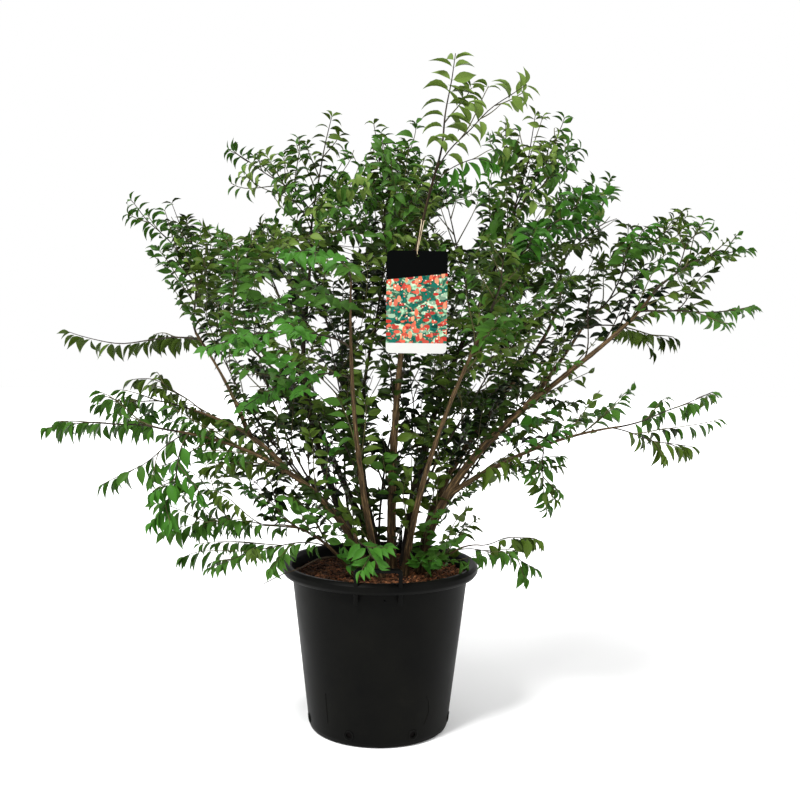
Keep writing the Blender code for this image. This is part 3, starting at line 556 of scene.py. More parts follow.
HEADER_BLACK = (0.0015, 0.0018, 0.0018)
FOOTER_PALE = (0.50, 0.50, 0.48)
BACK_PALE = (0.50, 0.50, 0.47)
FLOOR_PALE = [(0.3, (0.90, 0.90, 0.90)), (0.7, (0.93, 0.93, 0.93))]

CAMERA_PLACE = np.array([0.0363, -2.24, 0.8527])
CAMERA_LENS_MM = 50.0
CAMERA_SENSOR_MM = 36.0
CAMERA_PITCH_DEG = 4.645
CAMERA_ROLL_DEG = 0.764
FLOOR_HALF = 9.0
SKY_STRENGTH = 1.0
# Soft suns: name, the way that it shines from, strength, and how wide it is in degrees.
SUNS = [("key_sun", (-0.8, -1.0, 1.6), 4.2, 16), ("fill_sun", (1.2, -0.6, 1.0), 0.6, 50)]


def unit(v):
    """The same vectors at length one."""
    return v / np.maximum(np.linalg.norm(v, axis=-1, keepdims=True), 1e-9)


def smoothstep(low, high, value):
    """0 below low, 1 above high, and a smooth rise between them."""
    t = np.clip((value - low) / (high - low), 0, 1)
    return t * t * (3 - 2 * t)


def turns_of(count):
    """A full turn cut into equal steps."""
    return np.arange(count) * (2 * math.pi / count)


def on_circle(angles, radius=1.0):
    """Points (r cos, r sin) of a plane."""
    return np.stack([radius * np.cos(angles), radius * np.sin(angles)], -1)


def run_along(path):
    """Distance along a path at each of its points."""
    return np.concatenate([[0], np.cumsum(np.linalg.norm(np.diff(path, axis=0), axis=1))])


def point_on(path, run, at):
    """The points of a path at some distances along it, on straight runs between its own points."""
    return np.stack([np.interp(at, run, path[:, axis]) for axis in range(3)], -1)


def ripple(points, wavelength, seed):
    """A soft uneven field from -1 to 1: the mean of sine waves in seeded directions and phases."""
    rng = np.random.default_rng(seed)
    turns = unit(rng.normal(size=(RIPPLE_WAVES, points.shape[-1])))
    turns = turns * rng.uniform(0.6, 1.6, (RIPPLE_WAVES, 1))
    phases = rng.uniform(0, 2 * math.pi, RIPPLE_WAVES)
    return np.sin(points @ turns.T * (2 * math.pi / wavelength) + phases).mean(-1) * 2


def make_mesh(name, points, quads=(), tris=(), corner_uv=None, smooth=True):
    """An object of points, quads and triangles; corner_uv runs over the quads' corners first."""
    quads = np.asarray(quads, int).reshape(-1, 4)
    tris = np.asarray(tris, int).reshape(-1, 3)
    mesh = bpy.data.meshes.new(name)
    mesh.vertices.add(len(points))
    mesh.vertices.foreach_set("co", np.asarray(points, float).ravel())
    corners = np.concatenate([quads.ravel(), tris.ravel()])
    mesh.loops.add(len(corners))
    mesh.loops.foreach_set("vertex_index", corners)
    totals = np.concatenate([np.full(len(quads), 4), np.full(len(tris), 3)])
    mesh.polygons.add(len(totals))
    mesh.polygons.foreach_set("loop_start", np.concatenate([[0], np.cumsum(totals)[:-1]]))
    mesh.polygons.foreach_set("loop_total", totals)
    mesh.polygons.foreach_set("use_smooth", np.full(len(totals), smooth))
    if corner_uv is not None:
        layer = mesh.uv_layers.new(name="UVMap")
        layer.data.foreach_set("uv", np.asarray(corner_uv, float).ravel())
    mesh.update(calc_edges=True)
    mesh.validate()
    thing = bpy.data.objects.new(name, mesh)
    bpy.context.collection.objects.link(thing)
    return thing


def finish_piece(thing, finish, slot, *nodes):
    """Give a piece its material, let it ride on the body and stand for its nodes; slot is not used.
    """
    thing.data.materials.clear()
    thing.data.materials.append(finish)
    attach(thing, "root")
    if nodes:
        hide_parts(*nodes)


def grid_quads(rows, cols, closed_cols=True, closed_rows=False):
    """Corner numbers of the quads of a grid of points; a closed way joins its last to its first."""
    row, col = np.meshgrid(np.arange(rows if closed_rows else rows - 1),
                           np.arange(cols if closed_cols else cols - 1), indexing="ij")
    right, below = (col + 1) % cols, (row + 1) % rows
    return np.stack([row * cols + col, row * cols + right,
                     below * cols + right, below * cols + col], -1).reshape(-1, 4)


def grid_uv(rows, cols, length):
    """Corner UVs for the quads of a tube: 0 to 1 round it, and the real length along it."""
    row, col = np.meshgrid(np.arange(rows - 1), np.arange(cols), indexing="ij")
    along = length / (rows - 1)
    corners = [np.stack([(col + dc) * (1 / cols), (row + dr) * along], -1)
               for dc, dr in ((0, 0), (1, 0), (1, 1), (0, 1))]
    return np.stack(corners, 2).reshape(-1, 2)


def pick_reference(along):
    """A fixed direction for each path that is well off the path's own run."""
    middle = unit(along.mean(1))
    usual, other = np.array([0.1, 0.97, -0.21]), np.array([0.93, 0.12, 0.34])
    lies_along = np.abs(middle @ usual)[:, None] > 0.75
    return np.where(lies_along, other, usual)[:, None]


def tube_points(paths, radii, sides, level_foot=False):
    """Rings round many paths at once.

    paths is (tubes, rings, 3) and radii (tubes, rings) or (tubes, rings, sides). A ring lies square
    to its path: path + radius * (across * cos + up * sin), where across is square to the path and
    to a fixed direction, and up is square to both.
    """
    along = unit(np.gradient(paths, axis=1))
    across = unit(np.cross(along, pick_reference(along)))
    up = np.cross(along, across)
    if level_foot:
        across[:, 0] = unit(across[:, 0] * (1, 1, 0))
        up[:, 0] = np.cross(UP, across[:, 0])
    turns = turns_of(sides)[:, None]
    ring = across[:, :, None] * np.cos(turns) + up[:, :, None] * np.sin(turns)
    reach = radii[..., None] if radii.ndim == 2 else radii
    return paths[:, :, None] + ring * np.broadcast_to(reach, ring.shape[:3])[..., None]


def tubes(name, paths, radii, sides, level_foot=False):
    """One object of closed tubes along many paths; each end is closed by a fan to its pole."""
    count, rings = paths.shape[:2]
    rows = tube_points(paths, radii, sides, level_foot).reshape(count, rings * sides, 3)
    each = rings * sides + 2
    points = np.concatenate([rows, paths[:, :1], paths[:, -1:]], 1).reshape(-1, 3)
    starts = (np.arange(count) * each)[:, None, None]
    tris = fan_tris(rings, sides) + starts
    length = np.linalg.norm(np.diff(paths, axis=1), axis=-1).sum(1)
    uv = np.concatenate([grid_uv(rings, sides, one) for one in length])
    return make_mesh(name, points, grid_quads(rings, sides) + starts, tris,
                     np.concatenate([uv, np.zeros((tris.size, 2))]))


def rounded_profile(corners, radii):
    """A line of (radius, height) corners, each rounded by an arc of its own radius.

    The arc runs between the points that lie the same cut back and ahead of the corner, turned
    evenly about its centre.
    """
    corners = np.array(corners, float)
    line = [corners[0]]
    for before, at, after, radius in zip(corners, corners[1:], corners[2:], radii):
        back, ahead = unit(before - at), unit(after - at)
        half = math.acos(np.clip(back @ ahead, -1, 1)) / 2
        cut = min(radius / math.tan(half), MOST_CUT * np.linalg.norm(before - at),
                  MOST_CUT * np.linalg.norm(after - at))
        centre = at + unit(back + ahead) * (cut / math.cos(half))
        start, end = at + back * cut - centre, at + ahead * cut - centre
        swing = math.acos(np.clip(unit(start) @ unit(end), -1, 1))
        for t in np.linspace(0, 1, ARC_POINTS):
            turned = start * math.sin((1 - t) * swing) + end * math.sin(t * swing)
            line.append(centre + turned / math.sin(swing))
    line.append(corners[-1])
    return np.array(line)


def fan_tris(rings, sides):
    """Triangles that close a tube: its first ring to the pole after the last ring's points, and its
    last ring to the pole after that."""
    k = np.arange(sides)
    after, pole, last = (k + 1) % sides, np.full(sides, rings * sides), (rings - 1) * sides
    return np.concatenate([np.stack([pole, after, k], -1),
                           np.stack([pole + 1, last + k, last + after], -1)])


def closed_rings(name, rows, first_pole, last_pole):
    """A surface through rings of points (rows, sides, 3), closed by a fan to a pole at each end."""
    count, sides = rows.shape[:2]
    points = np.vstack([rows.reshape(-1, 3), [first_pole], [last_pole]])
    return make_mesh(name, points, grid_quads(count, sides), fan_tris(count, sides))


def lathe(name, profile, sides):
    """A surface turned about Z: each profile point (r, z) becomes the ring (r cos, r sin, z).

    The profile starts and ends on the axis, where a fan closes the surface.
    """
    turns = turns_of(sides)
    rings = profile[1:-1]
    rows = np.stack([rings[:, :1] * np.cos(turns), rings[:, :1] * np.sin(turns),
                     np.repeat(rings[:, 1:], sides, 1)], -1)
    return closed_rings(name, rows, (0, 0, profile[0][1]), (0, 0, profile[-1][1]))


def baked(thing):
    """The object with its modifiers worked into its mesh."""
    graph = bpy.context.evaluated_depsgraph_get()
    mesh = bpy.data.meshes.new_from_object(thing.evaluated_get(graph))
    thing.modifiers.clear()
    thing.data = mesh
    return thing


def shader_of(name, roughness, specular, colour=None):
    """A new material with its principled shader, and the node tree to build on."""
    finish = bpy.data.materials.new(name)
    finish.use_nodes = True
    tree = finish.node_tree
    shader = tree.nodes["Principled BSDF"]
    shader.inputs["Roughness"].default_value = roughness
    shader.inputs["Specular IOR Level"].default_value = specular
    if colour is not None:
        shader.inputs["Base Color"].default_value = (*colour, 1.0)
    return finish, tree, shader


def add_node(tree, kind, links=(), **settings):
    """A node of a kind, with values set on its sockets and links made to them."""
    node = tree.nodes.new(kind)
    for key, value in settings.items():
        if key in node.inputs:
            node.inputs[key].default_value = value
        else:
            setattr(node, key.lower(), value)
    for socket, source in dict(links).items():
        tree.links.new(source, node.inputs[socket])
    return node


def noise(tree, where, scale, detail, roughness=0.55, distortion=0.0):
    """A noise texture's value on a coordinate."""
    return add_node(tree, "ShaderNodeTexNoise", {"Vector": where}, Scale=scale, Detail=detail,
                    Roughness=roughness, Distortion=distortion).outputs[0]


def axes_of(tree, vector):
    """The X, Y and Z of a vector."""
    return add_node(tree, "ShaderNodeSeparateXYZ", {"Vector": vector}).outputs


def calculated(tree, operation, *terms):
    """The value of a math node; each term is a socket or a number."""
    node = add_node(tree, "ShaderNodeMath", operation=operation)
    for place, term in enumerate(terms):
        if isinstance(term, (int, float)):
            node.inputs[place].default_value = term
        else:
            tree.links.new(term, node.inputs[place])
    return node.outputs[0]


def ramp(tree, value, stops):
    """A colour ramp over a value; stops are (place, colour)."""
    node = add_node(tree, "ShaderNodeValToRGB", {"Fac": value})
    elements = node.color_ramp.elements
    while len(elements) < len(stops):
        elements.new(0.5)
    for element, (place, colour) in zip(elements, stops):
        element.position, element.color = place, (*colour, 1.0)
    return node.outputs[0]


def mixed(tree, share, under, over):
    """Two colours mixed by a share; over is a colour or a socket. Sockets 6 and 7 take them."""
    node = add_node(tree, "ShaderNodeMix", {0: share, 6: under}, data_type="RGBA")
    if isinstance(over, tuple):
        node.inputs[7].default_value = (*over, 1.0)
    else:
        tree.links.new(over, node.inputs[7])
    return node.outputs[2]


def span(tree, value, before, after):
    """A value carried from the range before to the range after."""
    ends = zip(("From Min", "From Max", "To Min", "To Max"), (*before, *after))
    return add_node(tree, "ShaderNodeMapRange", {"Value": value}, **dict(ends)).outputs[0]


def bump(tree, shader, height, strength, distance):
    """Relief from a height value on the shader's normal."""
    node = add_node(tree, "ShaderNodeBump", {"Height": height}, Strength=strength,
                    Distance=distance)
    tree.links.new(node.outputs[0], shader.inputs["Normal"])


def object_coordinates(tree):
    """Object coordinates, in metres, as the pieces have no scale of their own."""
    return tree.nodes.new("ShaderNodeTexCoord").outputs["Object"]


def uv_coordinates(tree, stretch=(1, 1, 1)):
    """The piece's own UV map, stretched."""
    source = tree.nodes.new("ShaderNodeUVMap").outputs["UV"]
    return add_node(tree, "ShaderNodeMapping", {"Vector": source}, Scale=stretch).outputs[0]


def round_coordinates(tree, around, along):
    """A vector without a seam round a tube: (cos, sin) of the UV's turn, and its length."""
    turn, length, _ = axes_of(tree, uv_coordinates(tree, (2 * math.pi, along, 1)))
    cos, sin = [calculated(tree, "MULTIPLY", calculated(tree, wave, turn), around)
                for wave in ("COSINE", "SINE")]
    return add_node(tree, "ShaderNodeCombineXYZ", {0: cos, 1: sin, 2: length}).outputs[0]


def plastic_finish():
    """Black moulded plastic: fine grain, a dusty olive cast in patches, soft scuffs."""
    finish, tree, shader = shader_of("black_moulded_plastic", roughness=0.4, specular=0.03)
    where = object_coordinates(tree)
    cloud = noise(tree, where, scale=9.0, detail=5.0, roughness=0.6)
    grain = noise(tree, where, scale=420.0, detail=3.0, roughness=0.7)
    tree.links.new(ramp(tree, cloud, PLASTIC_TINTS), shader.inputs["Base Color"])
    tree.links.new(span(tree, cloud, (0.3, 0.8), (0.36, 0.52)), shader.inputs["Roughness"])
    bump(tree, shader, grain, strength=0.16, distance=0.6 * MM)
    return finish


def mulch_finish(name, dark, light):
    """Bark chips or fibre: mottled brown, rough, with fine fibres, and black low down, painted
    shade inside the pot.
    """
    finish, tree, shader = shader_of(name, roughness=0.92, specular=0.12)
    where = object_coordinates(tree)
    grain = noise(tree, where, scale=160.0, detail=5.0, roughness=0.65, distortion=0.6)
    # painted shade: black low down inside the pot, seen through the drain holes
    inside_shade = span(tree, axes_of(tree, where)[2], INSIDE_SHADE_HEIGHTS, (1.0, 0.0))
    tint = mixed(tree, inside_shade, ramp(tree, grain, [(0.32, dark), (0.68, light)]), INSIDE_SHADE_BLACK)
    tree.links.new(tint, shader.inputs["Base Color"])
    fibres = noise(tree, where, scale=620.0, detail=4.0, roughness=0.7)
    bump(tree, shader, fibres, strength=0.55, distance=1.2 * MM)
    return finish


def bark_finish(name, dark, middle, light):
    """Bark with lengthwise streaks, read from the tube's own UV map, and darker high up."""
    finish, tree, shader = shader_of(name, roughness=0.78, specular=0.15)
    streaks = noise(tree, round_coordinates(tree, 2.6, BARK_STREAKS), scale=1.0, detail=6.0,
                    roughness=0.62, distortion=0.35)
    fine = noise(tree, round_coordinates(tree, 8.0, BARK_STREAKS * 3.2), scale=1.0, detail=4.0,
                 roughness=0.65)
    both = add_node(tree, "ShaderNodeMix", {2: streaks, 3: fine}, data_type="FLOAT", Factor=0.32)
    tint = ramp(tree, both.outputs[0], [(0.34, dark), (0.50, middle), (0.66, light)])
    high = span(tree, axes_of(tree, object_coordinates(tree))[2], BARK_DARKENS, (0.0, 0.7))
    tree.links.new(mixed(tree, high, tint, dark), shader.inputs["Base Color"])
    tree.links.new(span(tree, streaks, (0.3, 0.7), (0.68, 0.88)), shader.inputs["Roughness"])
    bump(tree, shader, both.outputs[0], strength=0.6, distance=1.2 * MM)
    return finish


def twig_finish(name, dark, light):
    """Thin twigs: a soft change of colour along them."""
    finish, tree, shader = shader_of(name, roughness=0.62, specular=0.15)
    cloud = noise(tree, object_coordinates(tree), scale=46.0, detail=3.0)
    tree.links.new(ramp(tree, cloud, [(0.36, dark), (0.64, light)]), shader.inputs["Base Color"])
    return finish


def leaf_finish(name, colour, roughness):
    """One tone of leaf: a satin face with a sunk midrib and side veins read from the leaf's own UV.

    The side veins are waves along the leaf that lean forwards with the distance from the midrib.
    """
    finish, tree, shader = shader_of(name, roughness, specular=0.09, colour=colour)
    side, along, _ = axes_of(tree, uv_coordinates(tree))
    off_middle = calculated(tree, "ABSOLUTE", side)
    lean = calculated(tree, "MULTIPLY_ADD", off_middle, -VEIN_LEAN, along)
    veins = calculated(tree, "SINE", calculated(tree, "MULTIPLY", lean, VEIN_RATE))
    rib = span(tree, off_middle, (0.0, 0.14), (-2.0, 0.0))
    bump(tree, shader, calculated(tree, "ADD", veins, rib), strength=0.25, distance=0.4 * MM)
    return finish


def leaf_mesh_pattern(leaf_rows):
    """Quads, triangles and UVs of a leaf: rows of three points, and one point at each sharp end."""
    stations = np.array([row[0] for row in leaf_rows])
    sharp_foot = int(leaf_rows[0][1] == 0)
    rows = len(leaf_rows) - 1 - sharp_foot
    quads = grid_quads(rows, 3, closed_cols=False)
    tip, foot = rows * 3, rows * 3 + 1
    tris = [(tip - 3, tip - 2, tip), (tip - 2, tip - 1, tip)]
    if sharp_foot:
        tris += [(foot, 1, 0), (foot, 2, 1)]
    v = np.concatenate([np.repeat(stations[sharp_foot:-1], 3), stations[-1:],
                        stations[:sharp_foot]])
    u = np.concatenate([np.tile([-1.0, 0.0, 1.0], rows), np.zeros(1 + sharp_foot)])
    return quads, np.array(tris), np.stack([u, v], -1)


def leaf_points(field, leaf_rows):
    """Points of many leaves at once, in the order of the mesh pattern.

    The midrib bends away from the upper face: base + length * (along * sin(k s) / k - face *
    (1 - cos(k s)) / k). At share s of the way up, the two edges stand half the leaf's width to
    either side, folded up towards the face by the fold angle.
    """
    stations, widths = np.array(leaf_rows).T
    bend = np.maximum(field["curl"], 0.05)[:, None]
    length = field["length"][:, None, None]
    run, drop = np.sin(bend * stations) / bend, (1 - np.cos(bend * stations)) / bend
    along, face = field["along"][:, None], field["face"][:, None]
    middle = field["base"][:, None] + length * (along * run[..., None] - face * drop[..., None])
    normal = face * np.cos(bend * stations)[..., None] + along * np.sin(bend * stations)[..., None]
    across = np.cross(field["along"], field["face"])[:, None]
    half = length * LEAF_BREADTH / 2 * widths[:, None] * field["breadth"][:, None, None]
    fold = field["fold"][:, None, None]
    lift = normal * half * np.sin(fold)
    side = across * half * np.cos(fold)
    rows = np.stack([middle - side + lift, middle, middle + side + lift], 2)
    first = 1 if widths[0] == 0 else 0
    return np.concatenate([rows[:, first:-1].reshape(len(middle), -1, 3), middle[:, -1:],
                           middle[:, :first]], 1)


def build_leaves(name, field, leaf_rows, finish, slot, nodes):
    """Leaves of one tone as one joined piece, or as several where they are many."""
    quads, tris, uv = leaf_mesh_pattern(leaf_rows)
    corner_uv = np.concatenate([uv[quads.ravel()], uv[tris.ravel()]])
    shapes = leaf_points(field, leaf_rows)
    faces = len(shapes) * (2 * len(quads) + len(tris))
    parts = math.ceil(faces / FACES_PER_PIECE)
    for number, part in enumerate(np.array_split(shapes, max(parts, 1)), 1):
        starts = (np.arange(len(part)) * shapes.shape[1])[:, None, None]
        count = len(part)
        uvs = np.concatenate([np.tile(corner_uv[:quads.size], (count, 1)),
                              np.tile(corner_uv[quads.size:], (count, 1))])
        piece = make_mesh("%s_%d" % (name, number), part.reshape(-1, 3), quads + starts,
                          tris + starts, uvs)
        finish_piece(piece, finish, slot, *nodes)


def limb_named(name):
    """The limb of a name."""
    return next(limb for limb in LIMBS if limb.name == name)


def limb_path(limb, shares):
    """Points of a limb at shares t of the way up, from 0 to 1.

    foot + (end - foot) t + 4 t (1 - t) bow + 32/3 t (1 - t) (1 - 2t) sway, in centimetres.
    """
    foot, end = limb_foot(limb), np.array(limb.end) * CM
    t = np.asarray(shares, float)[:, None]
    bow = 4 * t * (1 - t) * np.array(limb.bow) * CM
    sway = 32 / 3 * t * (1 - t) * (1 - 2 * t) * np.array(limb.sway) * CM
    return foot + (end - foot) * t + bow + sway


def limb_foot(limb):
    """Where a limb starts: on the soil, or on the straight runs between its parent's rings."""
    if limb.grows_from is None:
        return np.array([limb.foot[0] * CM, limb.foot[1] * CM, SOIL_LEVEL])
    shares = np.linspace(0, 1, LIMB_RINGS)
    return point_on(limb_path(limb_named(limb.grows_from), shares), shares, limb.foot)


def limb_radii(limb, path, shares):
    """Radius along a limb: an even taper, and a root flare where it stands on the soil."""
    radii = (limb.thick + (limb.thin - limb.thick) * np.asarray(shares)) * MM / 2
    if limb.grows_from is None:
        radii = radii * (1 + ROOT_FLARE * np.exp(-(path[:, 2] - SOIL_LEVEL) / FLARE_HEIGHT))
    return radii


def bark_radii(limb, path, shares):
    """The radius of the bark inside the frame's limb, which is a little stouter."""
    upward = smoothstep(*SLIM_BAND, np.asarray(shares))
    slim = LIMB_SLIM_FOOT + (LIMB_SLIM_TIP - LIMB_SLIM_FOOT) * upward
    return limb_radii(limb, path, shares) * slim


def build_limb_bark(limb, number, finish):
    """A limb's bark: its tube with lengthwise ridges, swellings at old leaf joints, a fork collar.

    Radius = taper * (1 + 5 ridges that wander + 11 fine ones + ripple + a swelling at each joint).
    Where a shoot carries the limb on, the taper ends in the shoot's foot.
    """
    length = run_along(limb_path(limb, np.linspace(0, 1, 60)))[-1]
    shares = np.linspace(0, 1, max(BARK_LEAST_RINGS, int(length / BARK_RING_STEP)))
    path = limb_path(limb, shares)
    run = run_along(path)
    radii = bark_radii(limb, path, shares)
    for shoot in SHOOTS:
        if shoot.grows_from == limb.name and shoot.share == 1.0:
            foot_radius = shoot.thick * MM * SHOOT_FOOT_SHARE * SHOOT_SLIM
            radii += (foot_radius - radii) * smoothstep(*SHOOT_BLEND, shares)
    if limb.grows_from is not None:
        radii *= 1 + COLLAR * np.exp(-run / COLLAR_LENGTH)
    joint = np.abs((run / BARK_JOINT_STEP + 0.37 * number) % 1 - 0.5) * BARK_JOINT_STEP
    swelling = JOINT_SWELLING * np.exp(-(joint / JOINT_LENGTH) ** 2)
    s, a = run[:, None], turns_of(BARK_SIDES)[None]
    ridges = RIDGE_DEPTH * np.sin(5 * a + 1.4 * np.sin(23 * s + number) + 9 * s)
    fine = FINE_RIDGE_DEPTH * np.sin(11 * a + 2.0 * np.sin(41 * s + 2.0 * number))
    on_round = np.stack([np.cos(a) + 0 * s, np.sin(a) + 0 * s, s * 40 + 0 * a], -1)
    rough = BARK_UNEVEN * ripple(on_round, 1.1, number + 40)
    relief = 1 + swelling[:, None] + ridges + fine + rough
    piece = tubes(limb.name + "_bark", path[None], (radii[:, None] * relief)[None], BARK_SIDES,
                  level_foot=limb.grows_from is None)
    finish_piece(piece, finish, "bark", limb.name)
    return path, radii


class Wood:
    """Points along all the wood that has grown so far, for new twigs to fork from."""

    def __init__(self):
        self.at = np.zeros((WOOD_ROOM, 3))
        self.lead = np.zeros((WOOD_ROOM, 3))
        self.radius = np.zeros(WOOD_ROOM)
        self.leafy = np.zeros(WOOD_ROOM, bool)
        self.count = 0

    def add(self, path, radii, leafy=0.0):
        """Take in a path's points, all but its first; leafy is the length that bears leaves."""
        room = slice(self.count, self.count + len(path) - 1)
        self.at[room] = path[1:]
        self.lead[room] = unit(np.gradient(path, axis=0))[1:]
        self.radius[room] = radii[1:]
        run = run_along(path)
        self.leafy[room] = run[1:] > run[-1] - leafy
        self.count = room.stop

    def gap_to_leaves(self, target):
        """How far a point is from the nearest wood that bears leaves."""
        bearing = self.at[:self.count][self.leafy[:self.count]]
        return math.sqrt(((bearing - target) ** 2).sum(1).min()) if len(bearing) else 1.0

    def fork_for(self, target, sink):
        """The point that a twig to a target forks from: near, not above it, with little turn."""
        gap = target - self.at[:self.count]
        distance = np.linalg.norm(gap, axis=1)
        cosine = (gap * self.lead[:self.count]).sum(1) / np.maximum(distance, 1e-6)
        cost = distance * (1 + FORK_TURN * (1 - cosine))
        cost += np.where(cosine < FORK_LEAST_COSINE, 1.0, 0.0) + sink * np.maximum(0, -gap[:, 2])
        cost += FORK_TOO_NEAR * np.maximum(0, TWIG_LEAST - distance)
        return int(np.argmin(cost))


def curve(start, start_lead, end, end_lead, rings):
    """A cubic between two points with a direction at each: Hermite's, on shares 0 to 1."""
    t = np.linspace(0, 1, rings)[:, None]
    reach = np.linalg.norm(end - start)
    return ((2 * t ** 3 - 3 * t ** 2 + 1) * start + (t ** 3 - 2 * t ** 2 + t) * reach * start_lead
            + (3 * t ** 2 - 2 * t ** 3) * end + (t ** 3 - t ** 2) * reach * end_lead)


def point_at(path, share):
    """The point and direction at a share of the way along a path."""
    place = share * (len(path) - 1)
    low = min(int(place), len(path) - 2)
    step = path[low + 1] - path[low]
    return path[low] + step * (place - low), unit(step)


Twig = namedtuple("Twig", "path radii habit tone leaf leafy plane")


def shoot_path(shoot, start, lead, rng):
    """A traced shoot's line and its length.

    foot + (tip - foot) t + 4 t (1 - t) bow passes its middle point half way. A turn towards the
    direction of its limb, t (1 - t)^2 (1 - 2t), is 0 at foot, middle and tip, and a slight wander
    4 t (1 - t) sin is 0 at both ends. The last bit before the tip is left to the leaves there.
    """
    tip, middle = np.array(shoot.tip) * CM, np.array(shoot.middle) * CM
    t = np.linspace(0, 1, SHOOT_RINGS)[:, None]
    bow = middle - (start + tip) / 2
    path = start + (tip - start) * t + 4 * t * (1 - t) * bow
    first = tip - start + 4 * bow
    at_end = shoot.share > 0.99
    turn = (lead * np.linalg.norm(first) - first) * (TURN_AT_END if at_end else TURN_AT_SIDE)
    path += turn * t * (1 - t) ** 2 * (1 - 2 * t)
    wander = np.sin(t * rng.uniform(*WANDER_RATE, 3) + rng.uniform(*WANDER_PHASE, 3))
    path += SHOOT_WANDER * wander * t * (1 - t) * 4
    run = run_along(path)
    length = run[-1] * (1 - TIP_LEAF_REACH[shoot.habit] / run[-1])
    return point_on(path, run, np.linspace(0, length, len(path))), length


def side_twig(shoot, number, path, length, rng):
    """The line and length of a side twig; they stand by turns on the two sides of the shoot."""
    share = SIDE_FIRST + SIDE_SPAN * (number + rng.uniform(*SIDE_JITTER)) / shoot.twigs
    fork, lead = point_at(path, share)
    side = unit(np.cross(lead, UP + SIDE_TWIST * rng.normal(size=3)))
    side *= 1 if number % 2 else -1
    reach = np.clip(length * (1 - share) * rng.uniform(*SIDE_REACH), *SIDE_LENGTH)
    heading = unit(side * rng.uniform(*SIDE_SPREAD) + lead * SIDE_FORWARD
                   + UP * SIDE_RISE[shoot.habit])
    end_lead = unit(heading + lead * 0.3 - UP * SIDE_DROOP[shoot.habit])
    start_lead = unit(side * 0.6 + lead)
    return curve(fork, start_lead, fork + heading * reach, end_lead, TWIG_RINGS), reach


def named_shoots(limb_paths, wood, rng):
    """The traced shoots, each with its side twigs."""
    paths = dict(limb_paths)
    twigs = []
    for shoot in SHOOTS:
        path, length = shoot_path(shoot, *point_at(paths[shoot.grows_from], shoot.share), rng)
        paths[shoot.name] = path
        radii = np.linspace(shoot.thick * MM / 2 * SHOOT_SLIM, TIP_RADIUS, SHOOT_RINGS)
        leafy = 0.0 if shoot.habit == "bare" else min(LEAFY_SHARE * length, LEAFY_MOST_SHOOT)
        wood.add(path, radii, leafy)
        plane = UPRIGHT_PLANE if shoot.habit == "up" else UP
        leaf = shoot.leaf * SHOOT_LEAF[shoot.habit]
        twigs.append(Twig(path, radii, shoot.habit, shoot.tone, leaf, leafy, plane))
        for number in range(shoot.twigs):
            path_aside, reach = side_twig(shoot, number, path, length, rng)
            foot_radius = min(SIDE_RADIUS, shoot.thick * MM * SIDE_OF_SHOOT)
            radii = np.linspace(foot_radius, TIP_RADIUS, TWIG_RINGS)
            wood.add(path_aside, radii, LEAFY_SHARE * reach)
            tone = shoot.tone + rng.choice([-1, 0, 0, 0])
            twigs.append(Twig(path_aside, radii, shoot.habit, tone, leaf * SIDE_LEAF,
                              LEAFY_SHARE * reach, plane))
    return twigs


def mass_shapes():
    """A search tree and box for each of the leafy masses in the frame."""
    shapes = {}
    for name in MASS_HABITS:
        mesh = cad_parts[name].data
        faces = [tuple(face.vertices) for face in mesh.polygons]
        low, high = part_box(name)
        shapes[name] = (BVHTree.FromPolygons([v.co.copy() for v in mesh.vertices], faces),
                        np.array(low), np.array(high))
    return shapes


def depth_in(tree, spot):
    """How far a point lies inside a closed shape, below 0 outside it."""
    nearest, normal, _, distance = tree.find_nearest(Vector(spot))
    inside = (Vector(spot) - nearest).dot(normal) < 0
    return distance if inside else -distance


def in_gaps(points):
    """Which points, seen from the camera, are in a sky gap."""
    ray = points - CAMERA_PLACE
    seen = CAMERA_PLACE + ray * (-CAMERA_PLACE[1] / ray[:, 1])[:, None]
    inside = np.zeros(len(points), bool)
    for place, half in np.reshape(SKY_GAPS, (-1, 2, 2)):
        away = (seen[:, [0, 2]] / CM - place) / half
        inside |= (away ** 2).sum(1) < 1
    return inside


def twig_targets(rng):
    """Where twigs may end: points thrown into the leafy masses and the loose spots."""
    spots, habits, thin = [], [], []
    for name, (tree, low, high) in mass_shapes().items():
        tries = int(np.prod(high - low) / TWIG_SPACING ** 3 * THROWS)
        for spot in rng.uniform(low, high, (tries, 3)):
            if depth_in(tree, spot) > LEAST_DEPTH:
                spots.append(spot)
                habits.append(MASS_HABITS[name])
                thin.append(name in THIN_MASSES)
    for spot in LOOSE_SPOTS:
        middle, reach = np.array(spot[:3]) * CM, np.array(spot[3:6]) * CM
        habit = spot[6] if len(spot) > 6 else "spray"
        tries = int(np.prod(2 * reach) / TWIG_SPACING ** 3 * THROWS)
        thrown = rng.uniform(-1, 1, (tries, 3))
        thrown = thrown[(thrown ** 2).sum(1) < 1] * reach + middle
        spots += list(thrown)
        habits += [habit] * len(thrown)
        thin += [False] * len(thrown)
    return np.array(spots), habits, np.array(thin)


